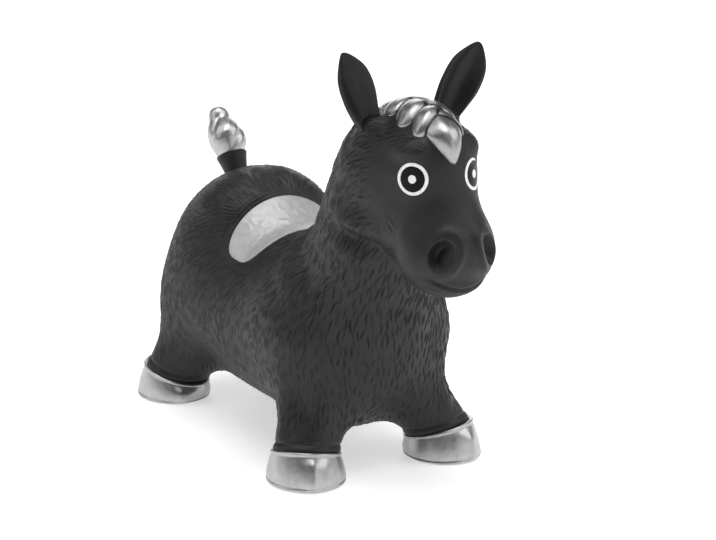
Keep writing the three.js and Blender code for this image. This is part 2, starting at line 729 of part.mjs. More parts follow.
function eyeHoop(side, innerRadius, outerRadius) {
  const ring = (radius, height) => skinRing(eyeRays(side, radius), 1, height, EYE_SIDES);
  const top = FILM_GAP + FILM;
  const under = [ring(innerRadius, FILM_GAP), ring(outerRadius, FILM_GAP)];
  return hoop([...under, ring(outerRadius, top), ring(innerRadius, top)]);
}

// One lock is a leaf from a root to a tip. Both are turns, in degrees, of a ray from inside the skull:
// pitch from straight up towards the nose, and yaw to the horse's left.
// half is the leaf's greatest half width, in degrees too.
const LOCKS = [
  { root: { pitch: -38, yaw: 5 }, tip: { pitch: 16, yaw: 17 }, half: 10 },
  { root: { pitch: -36, yaw: -6 }, tip: { pitch: 14, yaw: -17 }, half: 10 },
  { root: { pitch: -14, yaw: 3 }, tip: { pitch: 42, yaw: 15 }, half: 13 },
  { root: { pitch: -12, yaw: -5 }, tip: { pitch: 40, yaw: -15 }, half: 13 },
  { root: { pitch: 10, yaw: 0 }, tip: { pitch: 69, yaw: 1 }, half: 18 },
];
const LOCK_BELLY = 0.75; // below one, the leaf is widest nearer its root
const LOCK_LEAST_CHORD = 0.2;
const LOCK_SHARES = [0.55, 1];

function lock({ root, tip, half }, gap) {
  const from = v3(SKULL_X, 0, SKULL_Z - LOCK_CENTRE_DROP);
  const rayAt = (u, w) => {
    const share = clamp((u + 1) / 2, 0, 1);
    const across = w / Math.max(Math.sqrt(Math.max(1 - u * u, 0)), LOCK_LEAST_CHORD);
    const pitch = degToRad(lerp(root.pitch, tip.pitch, share));
    const spread = half * Math.sin(Math.PI * share ** LOCK_BELLY) * across;
    const yaw = degToRad(lerp(root.yaw, tip.yaw, share) + spread);
    const ahead = v3(Math.sin(pitch), 0, Math.cos(pitch)).multiplyScalar(Math.cos(yaw));
    return { from, direction: ahead.setY(Math.sin(yaw)) };
  };
  const high = (share) => FILM_GAP + lerp(LOCK_THICK, LOCK_EDGE, share ** 2);
  return solidOf(skinPad(rayAt, FILM_GAP, high, LOCK_SHARES, LOCK_SIDES, gap));
}

function forelock(gap) {
  return LOCKS.map((shape) => lock(shape, gap)).reduce((whole, next) => whole.add(next));
}

// Air valve, up from the belly's lowest point

function valveBush() {
  const flangeTop = VALVE_FLANGE_RISE + VALVE_FLANGE_THICK;
  const profile = [
    v2(VALVE_BORE_RADIUS, 0),
    v2(VALVE_BUSH_RADIUS, 0),
    v2(VALVE_BUSH_RADIUS, VALVE_FLANGE_RISE),
    v2(VALVE_FLANGE_RADIUS, VALVE_FLANGE_RISE),
    v2(VALVE_FLANGE_RADIUS, flangeTop),
    v2(VALVE_SPOUT_RADIUS, flangeTop),
    v2(VALVE_SPOUT_RADIUS, VALVE_BUSH_LENGTH),
    v2(VALVE_BORE_RADIUS, VALVE_BUSH_LENGTH),
    v2(VALVE_BORE_RADIUS, 0),
  ];
  return new THREE.LatheGeometry(profile, LATHE_SIDES).rotateX(Math.PI / 2).translate(...valvePoint());
}

function valveStopper() {
  const stem = VALVE_BORE_RADIUS - STOPPER_CLEARANCE;
  const headBottom = -SEAM_GAP - STOPPER_HEAD_THICK;
  const profile = [
    v2(0, headBottom),
    v2(STOPPER_HEAD_RADIUS, headBottom),
    v2(STOPPER_HEAD_RADIUS, -SEAM_GAP),
    v2(stem, -SEAM_GAP),
    v2(stem, STOPPER_STEM_LENGTH - STOPPER_STEM_BEVEL),
    v2(stem - STOPPER_STEM_BEVEL, STOPPER_STEM_LENGTH),
    v2(0, STOPPER_STEM_LENGTH),
  ];
  const turned = new THREE.LatheGeometry(profile, LATHE_SIDES).rotateX(Math.PI / 2);
  const tab = new THREE.BoxGeometry(STOPPER_TAB_LENGTH, STOPPER_TAB_WIDTH, STOPPER_HEAD_THICK);
  tab.translate(STOPPER_TAB_LENGTH / 2, 0, headBottom + STOPPER_HEAD_THICK / 2);
  return solidOf(turned).add(solidOf(tab)).translate(valvePoint().toArray());
}

// Assembly

const horse = new THREE.Group();
const stance = new THREE.Group();
horse.add(stance);

function addPiece(name, shape, material) {
  const mesh = new THREE.Mesh(shape.isBufferGeometry ? shape : geometryOf(shape), material);
  mesh.name = name;
  stance.add(mesh);
}

for (const end in ENDS)
  for (const side in SIDES) {
    addPiece(`hoof_${end}_${side}`, hoof(end, side), silverPaint);
    addPiece(`leg_${end}_${side}`, legSkin(end, side), blackRubber);
  }
addPiece("trunk_skin", trunkSkin(), blackRubber);
addPiece("neck_skin", neckSkin(), blackRubber);
addPiece("head_skin", headSkin(), blackRubber);
for (const side in SIDES) {
  addPiece(`ear_${side}`, ear(side), blackRubber);
  addPiece(`eye_ring_${side}`, eyeHoop(side, EYE_DISC_RADIUS + SEAM_GAP, EYE_RADIUS), whitePaint);
  addPiece(`eye_disc_${side}`, eyeHoop(side, EYE_DOT_RADIUS + SEAM_GAP, EYE_DISC_RADIUS), glossBlack);
  addPiece(`eye_dot_${side}`, eyeDot(side), whitePaint);
}
addPiece("forelock", forelock(), silverPaint);
addPiece("saddle_film", saddle(), paleSilver);
addPiece("tail_stub", tailStub(), blackRubber);
addPiece("tail_tuft", tailTuft(), silverPaint);
addPiece("valve_bush", valveBush(), greyVinyl);
addPiece("valve_stopper", valveStopper(), whiteVinyl);

// The origin lies under the middle of the whole horse.
stance.position.x = -new THREE.Box3().setFromObject(horse).getCenter(v3()).x;

export default horse;
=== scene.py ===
import json
import math

import bpy
import numpy as np
from mathutils import Euler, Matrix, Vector
from mathutils.kdtree import KDTree


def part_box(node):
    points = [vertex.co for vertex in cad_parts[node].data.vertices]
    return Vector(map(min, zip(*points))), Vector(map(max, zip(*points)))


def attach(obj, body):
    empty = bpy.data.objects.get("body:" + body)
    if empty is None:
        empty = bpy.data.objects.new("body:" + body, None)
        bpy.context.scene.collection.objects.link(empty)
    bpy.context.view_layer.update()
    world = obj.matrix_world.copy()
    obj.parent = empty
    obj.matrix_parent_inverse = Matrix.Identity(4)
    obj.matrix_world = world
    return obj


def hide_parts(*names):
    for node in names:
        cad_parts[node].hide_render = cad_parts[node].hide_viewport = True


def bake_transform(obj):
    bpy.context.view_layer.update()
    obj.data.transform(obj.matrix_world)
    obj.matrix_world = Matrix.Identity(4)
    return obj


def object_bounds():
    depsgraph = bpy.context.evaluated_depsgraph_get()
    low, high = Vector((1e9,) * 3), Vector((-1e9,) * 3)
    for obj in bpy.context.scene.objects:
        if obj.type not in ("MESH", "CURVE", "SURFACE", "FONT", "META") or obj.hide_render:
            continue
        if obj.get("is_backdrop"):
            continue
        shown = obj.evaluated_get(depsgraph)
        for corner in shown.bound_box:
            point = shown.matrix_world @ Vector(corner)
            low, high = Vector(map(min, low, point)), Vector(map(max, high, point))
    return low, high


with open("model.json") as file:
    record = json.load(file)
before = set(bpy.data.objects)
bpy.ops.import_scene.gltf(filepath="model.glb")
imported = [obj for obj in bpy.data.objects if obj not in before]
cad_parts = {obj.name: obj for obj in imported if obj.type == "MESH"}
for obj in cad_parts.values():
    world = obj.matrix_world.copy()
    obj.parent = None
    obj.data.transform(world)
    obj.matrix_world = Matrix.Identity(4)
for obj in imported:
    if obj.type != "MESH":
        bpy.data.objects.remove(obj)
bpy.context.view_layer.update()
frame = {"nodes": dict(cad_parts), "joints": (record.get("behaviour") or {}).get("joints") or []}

# Shapes are worked out in millimetres from the middle of the four hooves, like the CAD source,
# and turned into metres in the row frame when a mesh is made.
MM = 0.001
TINY, FAR = 1e-9, 1000.0
JOINTS = {joint["name"]: joint for joint in frame["joints"]}
NOD_X = 128.0  # the neck's hinge, ahead of the middle of the hooves
SHIFT = np.array([NOD_X - JOINTS["neck_nod"]["pos_m"][0] / MM, 0, 0])
RANDOM = np.random.default_rng(11)

SIDES = {"left": 1, "right": -1}
ENDS = {"front": 1, "hind": -1}


def vec(*xyz):
    return np.array(xyz, float)


def unit(v):
    v = np.asarray(v, float)
    return v / np.linalg.norm(v, axis=-1, keepdims=True)


def smooth(x, start, end):
    """0 before start, 1 after end, and smooth between; start may be above end."""
    t = np.clip((x - start) / (end - start), 0, 1)
    return t * t * (3 - 2 * t)


def mix(a, b, t):
    return a + (b - a) * t


def bump(x, middle, width):
    return np.exp(-(((x - middle) / width) ** 2))


def tangents(normal, towards):
    first = unit(towards - normal * (normal @ towards))
    return first, np.cross(normal, first)


def both_sides(p):
    """The points moved to the left half, so that both halves get the same form."""
    q = p.copy()
    q[:, 1] = np.abs(q[:, 1])
    return q


def joint_place(name):
    return np.array(JOINTS[name]["pos_m"]) / MM + SHIFT


def row(p):
    """A point in millimetres as a place in the row frame."""
    return Vector((np.asarray(p) - SHIFT) * MM)


def bend(piece, first, second, root, axis, span):
    """Bakes the piece's transform into its mesh."""
    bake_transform(piece)


# The field of the inflated skin, as in the CAD source

WHEELBASE, TRACK = 340, 176
BODY_BLEND, FACE_BLEND = 34, 22
RUMP, RUMP_SIZE = vec(-112, 0, 167), vec(222, 202, 230)
CHEST, CHEST_SIZE = vec(108, 0, 152), vec(214, 192, 214)
BARREL_BACK, BARREL_FRONT, BARREL_RADIUS = vec(-112, 0, 131), vec(86, 0, 131), 101
LEG_TOP_Z, LEG_TOP_RADIUS, LEG_TOP_IN, LEG_TOP_BACK = 142, 46, 50, 40
ANKLE_RADIUS, ANKLE_IN, ANKLE_BACK = 35, 3, 5
HOOF_HEIGHT = 31
NECK_BASE, NECK_BASE_RADIUS = vec(150, 0, 222), 80
NECK_TOP, NECK_TOP_RADIUS = vec(230, 0, 352), 71
SKULL, SKULL_SIZE = vec(266, 0, 372), vec(128, 92, 116)
FACE_TOP, FACE_TOP_RADIUS, FACE_END_RADIUS = vec(282, 0, 360), 45, 42
MUZZLE, MUZZLE_SIZE = vec(314, 0, 287), vec(98, 104, 98)


def swelling(xyz, centre, size):
    half = np.asarray(size) / 2
    q = [(c - m) / h for c, m, h in zip(xyz, centre, half)]
    share = np.sqrt(sum(a * a for a in q))
    slope = np.sqrt(sum((a / h) ** 2 for a, h in zip(q, half)))
    return share * (share - 1) / np.maximum(slope, TINY)


def limb(xyz, start, start_radius, end, end_radius):
    axis = end - start
    d = [c - s for c, s in zip(xyz, start)]
    share = np.clip(sum(a * b for a, b in zip(d, axis)) / (axis @ axis), 0, 1)
    off = np.sqrt(sum((a - share * b) ** 2 for a, b in zip(d, axis)))
    return off - mix(start_radius, end_radius, share)


def soft_union(a, b, width):
    closeness = np.maximum(width - np.abs(a - b), 0) / width
    return np.minimum(a, b) - closeness * closeness * width / 4


def hoof_centre(end, side):
    return vec(end * WHEELBASE / 2, side * TRACK / 2, 0)


def ankle(end, side):
    return hoof_centre(end, side) + vec(-end * ANKLE_BACK, -side * ANKLE_IN, HOOF_HEIGHT)


def leg_top(end, side):
    return hoof_centre(end, side) + vec(-end * LEG_TOP_BACK, -side * LEG_TOP_IN, LEG_TOP_Z)


# Each form is a function, what it takes after the coordinates, and the box that holds it
def oval_form(centre, size):
    half = np.asarray(size) / 2
    return swelling, (centre, size), centre - half, centre + half


def limb_form(start, start_radius, end, end_radius):
    low = np.minimum(start - start_radius, end - end_radius)
    high = np.maximum(start + start_radius, end + end_radius)
    return limb, (start, start_radius, end, end_radius), low, high


def leg_form(end, side):
    return limb_form(leg_top(end, side), LEG_TOP_RADIUS, ankle(end, side), ANKLE_RADIUS)


BODY_FORMS = [
    oval_form(RUMP, RUMP_SIZE),
    oval_form(CHEST, CHEST_SIZE),
    limb_form(BARREL_BACK, BARREL_RADIUS, BARREL_FRONT, BARREL_RADIUS),
    *(leg_form(end, side) for end in ENDS.values() for side in SIDES.values()),
    limb_form(NECK_BASE, NECK_BASE_RADIUS, NECK_TOP, NECK_TOP_RADIUS),
]
HEAD_FORMS = [
    oval_form(SKULL, SKULL_SIZE),
    limb_form(FACE_TOP, FACE_TOP_RADIUS, MUZZLE, FACE_END_RADIUS),
    oval_form(MUZZLE, MUZZLE_SIZE),
]
REACH = 45  # a form is left out of the sum this far from its box, more than any blend


def add_form(field, xyz, form, blend):
    shape, sizes, low, high = form
    inside = [(c > l - REACH) & (c < h + REACH) for c, l, h in zip(xyz, low, high)]
    near = np.flatnonzero(inside[0] & inside[1] & inside[2])
    if len(near):
        value = shape([c[near] for c in xyz], *sizes)
        field[near] = soft_union(field[near], value, blend)


def skin(p):
    xyz = np.ascontiguousarray(p.T)
    body = np.full(len(p), FAR)
    for form in BODY_FORMS:
        add_form(body, xyz, form, BODY_BLEND)
    head = np.full(len(p), FAR)
    for form in HEAD_FORMS:
        add_form(head, xyz, form, FACE_BLEND)
    return soft_union(body, head, FACE_BLEND)


# The skin with the moulded forms of the face, on both sides alike
EAR_SLANT = math.radians(22)
EAR_AXIS = unit(vec(0, math.sin(EAR_SLANT), math.cos(EAR_SLANT)))
EAR_ROOT = joint_place("left_ear_flex")
BOSS_BACK, BOSS_DEPTHS, BOSS_RADII = vec(7, 0, 0), (18, 6), (18, 13)  # the swelling under an ear
BOSS_START, BOSS_END = (EAR_ROOT - depth * EAR_AXIS - BOSS_BACK for depth in BOSS_DEPTHS)
FACE_FORMS = [
    # form, softness
    (oval_form(vec(252, 33, 318), vec(86, 48, 84)), 18),  # cheek
    (oval_form(vec(294, 31, 390), vec(42, 28, 22)), 12),  # brow
    (oval_form(vec(328, 0, 258), vec(54, 57, 34)), 10),  # lower lip
    (limb_form(BOSS_START, BOSS_RADII[0], BOSS_END, BOSS_RADII[1]), 16),  # ear's root
]


def moulded_skin(p):
    field = skin(p)
    xyz = p[:, 0], np.abs(p[:, 1]), p[:, 2]
    for form, softness in FACE_FORMS:
        add_form(field, xyz, form, softness)
    return field


SLOPE_STEP, LEAST_SLOPE = 0.4, 0.05


def slope_of(field, p):
    slope = np.empty_like(p)
    for axis in range(3):
        step = np.zeros(3)
        step[axis] = SLOPE_STEP
        slope[:, axis] = (field(p + step) - field(p - step)) / (2 * SLOPE_STEP)
    return slope


def settle(field, p, rounds=2):
    """The points moved onto the field's surface."""
    for _ in range(rounds):
        value = field(p)
        steps = SLOPE_STEP * np.eye(3)
        slope = np.stack([(field(p + step) - value) / SLOPE_STEP for step in steps], 1)
        steep = np.maximum((slope * slope).sum(1), LEAST_SLOPE)
        p = p - slope * (value / steep)[:, None]
    return p


# Meshes from fields

CORNERS = np.array([[i & 1, (i >> 1) & 1, i >> 2] for i in range(8)])
CELL_EDGES = [(a, b) for a in range(8) for b in range(a + 1, 8) if bin(a ^ b).count("1") == 1]
BLOCK, NEAR_BLOCK = 6, 1.5  # cells in a block; blocks this many widths away are left out
BLOCKS_AT_ONCE = 1000
RELAX_SHARE = 0.6


def grid(counts):
    return np.stack(np.meshgrid(*map(np.arange, counts), indexing="ij"), -1).reshape(-1, 3)


def surface_net(field, low, high, cell):
    """The points and quads of the surface where the field is zero, over cubic cells."""
    blocks = np.ceil((high - low) / (cell * BLOCK)).astype(int)
    count = blocks * BLOCK
    at = grid(blocks)
    rough = field(low + cell * (BLOCK * at + (BLOCK - 1) / 2))
    values = np.repeat(rough.reshape(blocks), BLOCK, 0).repeat(BLOCK, 1).repeat(BLOCK, 2)
    near = at[np.abs(rough) < BLOCK * cell * NEAR_BLOCK]
    steps = grid([BLOCK] * 3)
    for some in np.array_split(near, len(near) // BLOCKS_AT_ONCE + 1):
        places = (BLOCK * some[:, None] + steps).reshape(-1, 3)
        values[tuple(places.T)] = field(low + cell * places)
    inside = values < 0
    cells = tuple(count - 1)
    filled = np.zeros(cells, np.int8)
    for dx, dy, dz in CORNERS:
        filled += inside[dx : dx + cells[0], dy : dy + cells[1], dz : dz + cells[2]]
    places = np.argwhere((filled > 0) & (filled < len(CORNERS)))
    corner_values = np.stack([values[tuple((places + c).T)] for c in CORNERS], 1)
    total, crossings = np.zeros((len(places), 3)), np.zeros(len(places))
    for a, b in CELL_EDGES:
        va, vb = corner_values[:, a], corner_values[:, b]
        crosses = (va < 0) != (vb < 0)
        share = np.where(crosses, va / np.where(crosses, va - vb, 1), 0)
        point = CORNERS[a] + share[:, None] * (CORNERS[b] - CORNERS[a])
        total += point * crosses[:, None]
        crossings += crosses
    points = low + cell * (places + total / crossings[:, None])
    number = np.full(cells, -1)
    number[tuple(places.T)] = np.arange(len(places))
    quads = []
    for axis in range(3):
        u, w = np.eye(3, dtype=int)[[(axis + 1) % 3, (axis + 2) % 3]]
        here = np.take(inside, range(count[axis] - 1), axis)
        ahead = np.take(inside, range(1, count[axis]), axis)
        edges = np.argwhere(here != ahead)
        edges = edges[((edges - u - w) >= 0).all(1) & (edges < np.array(cells)).all(1)]
        ring = np.stack([number[tuple((edges - d).T)] for d in (0 * u, u, u + w, w)], 1)
        outward = here[tuple(edges.T)]
        quads.append(np.where(outward[:, None], ring, ring[:, ::-1]))
    return points, np.concatenate(quads)


def edges_of(quads, count):
    """The mesh's edges, and for each quad the number of the edge that leaves each corner."""
    pairs = np.sort(np.stack([quads, np.roll(quads, -1, 1)], -1).reshape(-1, 2), 1)
    keys, back = np.unique(pairs[:, 0] * count + pairs[:, 1], return_inverse=True)
    return np.stack([keys // count, keys % count], 1), back.reshape(-1, 4)


def relax(field, points, quads, rounds):
    """Evens out the mesh, with its points kept on the field's surface."""
    edges, _ = edges_of(quads, len(points))
    degree = np.bincount(edges.ravel(), minlength=len(points))[:, None]
    for _ in range(rounds):
        total = np.zeros_like(points)
        for axis in range(3):
            total[:, axis] += np.bincount(edges[:, 0], points[edges[:, 1], axis], len(points))
            total[:, axis] += np.bincount(edges[:, 1], points[edges[:, 0], axis], len(points))
        points = settle(field, mix(points, total / degree, RELAX_SHARE), 1)
    return points


def subdivide(points, quads):
    edges, edge_of = edges_of(quads, len(points))
    middle = len(points) + edge_of
    centre = len(points) + len(edges) + np.arange(len(quads))
    fine = [np.stack([quads[:, i], middle[:, i], centre, middle[:, i - 1]], 1) for i in range(4)]
    points = np.concatenate([points, points[edges].mean(1), points[quads].mean(1)])
    return points, np.concatenate(fine)


def normals_of(points, quads):
    corners = points[quads]
    face = np.cross(corners[:, 2] - corners[:, 0], corners[:, 3] - corners[:, 1])
    total = np.zeros_like(points)
    for axis in range(3):
        total[:, axis] = np.bincount(quads.ravel(), np.repeat(face[:, axis], 4), len(points))
    return unit(total + TINY)


def add_object(name, data):
    added = bpy.data.objects.new(name, data)
    bpy.context.scene.collection.objects.link(added)
    return added


def make_piece(name, points, faces, material, normals=None, marks=None):
    """A smooth mesh from points in millimetres. faces is an array of quads, or a list of faces with
    any number of corners, and marks are named values at the points."""
    mesh = bpy.data.meshes.new(name)
    places = (np.asarray(points) - SHIFT) * MM
    if isinstance(faces, np.ndarray):
        starts = np.arange(len(faces), dtype=np.int32) * faces.shape[1]
        mesh.vertices.add(len(places))
        mesh.vertices.foreach_set("co", places.astype(np.float32).ravel())
        mesh.loops.add(faces.size)
        mesh.loops.foreach_set("vertex_index", faces.ravel().astype(np.int32))
        mesh.polygons.add(len(faces))
        mesh.polygons.foreach_set("loop_start", starts)
        mesh.update(calc_edges=True)
    else:
        mesh.from_pydata(places.tolist(), [], faces)
    mesh.validate()
    mesh.polygons.foreach_set("use_smooth", np.ones(len(mesh.polygons), bool))
    for mark, values in (marks or {}).items():
        attribute = mesh.attributes.new(mark, "FLOAT", "POINT")
        attribute.data.foreach_set("value", np.asarray(values, np.float32))
    if normals is not None:
        mesh.normals_split_custom_set_from_vertices(normals.tolist())
    mesh.materials.append(material)
    return add_object(name, mesh)


# Materials

MIX_SHARE, MIX_A, MIX_B, MIX_RESULT = 0, 6, 7, 2  # the sockets of a Mix node for colours


def shader_of(material):
    return material.node_tree.nodes["Principled BSDF"]


def set_inputs(node, **values):
    for name, value in values.items():
        node.inputs[name.replace("_", " ")].default_value = value


def link(material, output, node, socket):
    material.node_tree.links.new(output, node.inputs[socket])


def new_material(name, color, roughness, **looks):
    material = bpy.data.materials.new(name)
    material.use_nodes = True
    set_inputs(shader_of(material), Base_Color=(*color, 1), Roughness=roughness, **looks)
    return material


def add_node(material, kind, **inputs):
    node = material.node_tree.nodes.new(kind)
    set_inputs(node, **inputs)
    return node


def mark_value(material, mark):
    """The value of a mesh's mark, zero where the mesh has none."""
    node = add_node(material, "ShaderNodeAttribute")
    node.attribute_name = mark
    return node.outputs["Fac"]


def noise(material, scale, detail=3.0, roughness=0.55, stretch=(1, 1, 1)):
    """A noise over the object, whose scale is in features per metre."""
    place = add_node(material, "ShaderNodeTexCoord")
    stretched = add_node(material, "ShaderNodeMapping", Scale=stretch)
    node = add_node(material, "ShaderNodeTexNoise", Scale=scale, Detail=detail, Roughness=roughness)
    link(material, place.outputs["Object"], stretched, "Vector")
    link(material, stretched.outputs["Vector"], node, "Vector")
    return node.outputs["Fac"]


def ranged(material, value, low, high, start=0.3, end=0.7):
    limits = {"From_Min": start, "From_Max": end, "To_Min": low, "To_Max": high}
    node = add_node(material, "ShaderNodeMapRange", **limits)
    link(material, value, node, "Value")
    return node.outputs["Result"]


def mixed_color(material, value, low, high):
    """A mix of two colours; low is a colour or another node's output."""
    node = material.node_tree.nodes.new("ShaderNodeMix")
    node.data_type = "RGBA"
    if isinstance(low, tuple):
        node.inputs[MIX_A].default_value = (*low, 1)
    else:
        link(material, low, node, MIX_A)
    node.inputs[MIX_B].default_value = (*high, 1)
    link(material, value, node, MIX_SHARE)
    return node.outputs[MIX_RESULT]


def drive(material, socket, output):
    link(material, output, shader_of(material), socket)


def add_bump(material, height, distance, strength):
    node = add_node(material, "ShaderNodeBump", Strength=strength, Distance=distance)
    link(material, height, node, "Height")
    drive(material, "Normal", node.outputs["Normal"])


RUBBER_DARK, RUBBER_PALE = (0.011, 0.011, 0.0112), (0.015, 0.015, 0.0153)
# painted shade: the colour that the base colour is darkened towards inside the grooves and nostrils
GROOVE_PAINTED_SHADE = (0.004, 0.004, 0.004)
GRAIN_STRETCH = (420, 420, 45)  # features per metre across and along the fine streaks
FORELOCK_TONE_AND_SHADE = (0.02, 0.02, 0.02)  # the dark colour that the silver is mixed towards: a little over the whole forelock for its darker tone, and fully between its locks as painted shade
DULL_SHARE = 0.85


def rubber_material():
    material = new_material("black_rubber", RUBBER_PALE, 0.5)
    mottle = ranged(material, noise(material, scale=60), low=0, high=1)
    color = mixed_color(material, mottle, RUBBER_DARK, RUBBER_PALE)
    # painted shade: the groove mark darkens the base colour and lowers the specular level in the grooves
    # and nostrils
    groove = mark_value(material, "groove")
    sheen = ranged(material, groove, low=0.36, high=0.16, start=0, end=1)
    roughness = ranged(material, noise(material, scale=140, detail=4), low=0.44, high=0.58)
    drive(material, "Base Color", mixed_color(material, groove, color, GROOVE_PAINTED_SHADE))
    drive(material, "Specular IOR Level", sheen)
    drive(material, "Roughness", roughness)
    streaks = noise(material, scale=1.0, detail=2, stretch=GRAIN_STRETCH)
    add_bump(material, streaks, distance=0.0006, strength=0.45)
    return material


def silver_material(name, dark, pale, roughness, metallic, grain):
    material = new_material(name, pale, roughness, Metallic=metallic)
    mottle = ranged(material, noise(material, scale=90), low=0, high=1)
    color = mixed_color(material, mottle, dark, pale)
    # the forelock's darker tone, and the painted shade between its locks
    tone_and_gap_shade = mixed_color(material, mark_value(material, "tone_and_gap_shade"), color, FORELOCK_TONE_AND_SHADE)
    patches = noise(material, scale=220, detail=4)
    drive(material, "Base Color", tone_and_gap_shade)
    drive(material, "Roughness", ranged(material, patches, roughness - 0.06, roughness + 0.08))
    add_bump(material, noise(material, grain, detail=2), distance=0.0012, strength=0.25)
    return material


def plain_material(name, color, roughness, spread, **looks):
    material = new_material(name, color, roughness, **looks)
    dull = tuple(DULL_SHARE * c for c in color)
    mottle = ranged(material, noise(material, scale=250), low=0, high=1)
    patches = noise(material, scale=400)
    drive(material, "Base Color", mixed_color(material, mottle, dull, color))
    drive(material, "Roughness", ranged(material, patches, roughness - spread, roughness + spread))
    add_bump(material, noise(material, scale=1800, detail=2), distance=0.0002, strength=0.3)
    return material


RUBBER = rubber_material()
SILVER = silver_material("silver_paint", (0.43, 0.43, 0.44), (0.52, 0.52, 0.53), 0.34, 0.92, grain=70)
PALE = silver_material("pale_silver", (0.41, 0.41, 0.415), (0.48, 0.48, 0.485), 0.46, 0.35, grain=60)
WHITE = plain_material("white_paint", (0.92, 0.92, 0.91), 0.45, spread=0.05)
GLOSS = plain_material("gloss_black", (0.003, 0.003, 0.003), 0.35, spread=0.05, Specular_IOR_Level=0.15)
GREY = plain_material("grey_vinyl", (0.2, 0.2, 0.2), 0.5, spread=0.06)
VINYL = plain_material("white_vinyl", (0.78, 0.78, 0.76), 0.45, spread=0.06)

# The skin's mesh

NET_CELL = 2.4
SKIN_LOW, SKIN_HIGH = vec(-236, -136, -8), vec(378, 136, 446)
points, quads = surface_net(moulded_skin, SKIN_LOW, SKIN_HIGH, NET_CELL)
points = relax(moulded_skin, settle(moulded_skin, points), quads, rounds=4)
points, quads = subdivide(points, quads)
points = settle(moulded_skin, points, 1)
normals = unit(slope_of(moulded_skin, points))
mirrored = both_sides(points)

# Where things are on the skin

SADDLE_X, SADDLE_HALF, SADDLE_REACH, SADDLE_SQUARENESS = -20.5, 29.0, 46.5, 3.0
SADDLE_FORWARD = 6.0  # how much further forward its ends reach
SADDLE_SPREAD = 1.35  # from its share of SADDLE_HALF to about millimetres
BELOW_SADDLE = 9  # a share for the belly, far out of the saddle
BARREL_Z = BARREL_FRONT[2]
NECK_SLANT = 0.524, 0.851  # forward and up along the neck
NECK_FLANK = vec(-0.36, 0.906, 0.222)  # the way that the neck's sides face


def saddle_half(way, w):
    return SADDLE_HALF + SADDLE_FORWARD * np.minimum(w**2, 1) * (way > 0)


def saddle_share(p):
    """Below one inside the saddle's outline."""
    w = np.abs(np.degrees(np.arctan2(p[:, 1], p[:, 2] - BARREL_Z))) / SADDLE_REACH
    u = np.abs(p[:, 0] - SADDLE_X) / saddle_half(p[:, 0] - SADDLE_X, w)
    return (u**SADDLE_SQUARENESS + w**SADDLE_SQUARENESS) ** (1 / SADDLE_SQUARENESS)


X, Y, Z = points.T
SHARE_OF_SADDLE = np.where(Z > BARREL_Z, saddle_share(points), BELOW_SADDLE)
OUT_OF_SADDLE = (SHARE_OF_SADDLE - 1) * SADDLE_HALF * SADDLE_SPREAD
PLACES = {
    "x": X,
    "z": Z,
    "wide": np.abs(Y),
    "past saddle": X - SADDLE_X,
    "out of saddle": OUT_OF_SADDLE,
    "up neck": NECK_SLANT[0] * X + NECK_SLANT[1] * Z,
    "neck side": both_sides(normals) @ NECK_FLANK,
}


def shaped(*limits):
    """A share at every point of the skin. A limit is smooth or bump, a place and two values."""
    share = 1.0
    for shape, place, a, b in limits:
        share = share * shape(PLACES[place], a, b)
    return share


COLLAR_TILT_SIDE, COLLAR_TILT_END = math.radians(10), math.radians(13)
LEG_NAMES = [(f"{e}_{s}", ENDS[e], SIDES[s]) for e in ENDS for s in SIDES]
LEG_REACH = 85


def collar_slopes(end, side):
    return vec(end * math.tan(COLLAR_TILT_END), side * math.tan(COLLAR_TILT_SIDE))


def above_collar(p, end, side):
    slopes = collar_slopes(end, side)
    normal = unit(vec(-slopes[0], -slopes[1], 1))
    return (p - ankle(end, side)) @ normal


def leg_axis(end, side):
    return unit(leg_top(end, side) - ankle(end, side))


def along_leg(p, end, side):
    """How far up the leg's line from the ankle, and the distance from that line."""
    axis = leg_axis(end, side)
    from_ankle = p - ankle(end, side)
    along = from_ankle @ axis
    return along, np.linalg.norm(from_ankle - along[:, None] * axis, axis=1)


height = np.zeros(len(points))  # how far each point is moved out of the field's surface
hair = np.ones(len(points))  # how much of the hair's strokes a place shows

# Smooth rolls above the hooves
ROLLS = [
    # rise, how far above the collar, half width
    (1.9, 2, 4.5), (-0.8, 8, 1.5), (0.3, 11.5, 2.6),
]
ROLLS_START, HAIR_ABOVE = (-8, 0), (9, 24)
for _, end, side in LEG_NAMES:
    _, off = along_leg(points, end, side)
    above = above_collar(points, end, side)
    roll = sum(rise * bump(above, middle, width) for rise, middle, width in ROLLS)
    height += np.where(off < LEG_REACH, roll * smooth(above, *ROLLS_START), 0)
    hair *= np.where(off < LEG_REACH, smooth(above, *HAIR_ABOVE), 1)

# Grooves round the saddle, and a smooth band behind it
SADDLE_GROOVES = [
    # depth, distance from the saddle, half width
    (0.6, 5.5, 1.4), (0.5, 9.5, 1.3),
]
SADDLE_EDGE = 0.9, 0.6, 1.4
BAND_SMOOTHNESS = 0.85
behind = shaped((smooth, "past saddle", 20, -12), (smooth, "wide", 90, 70))
for depth, distance, width in SADDLE_GROOVES:
    height -= depth * bump(OUT_OF_SADDLE, distance, width) * behind
height -= SADDLE_EDGE[0] * bump(OUT_OF_SADDLE, *SADDLE_EDGE[1:])
past_band = shaped((smooth, "out of saddle", 11, 14))
hair *= shaped((smooth, "out of saddle", 2, 5)) * (1 - BAND_SMOOTHNESS * behind * (1 - past_band))

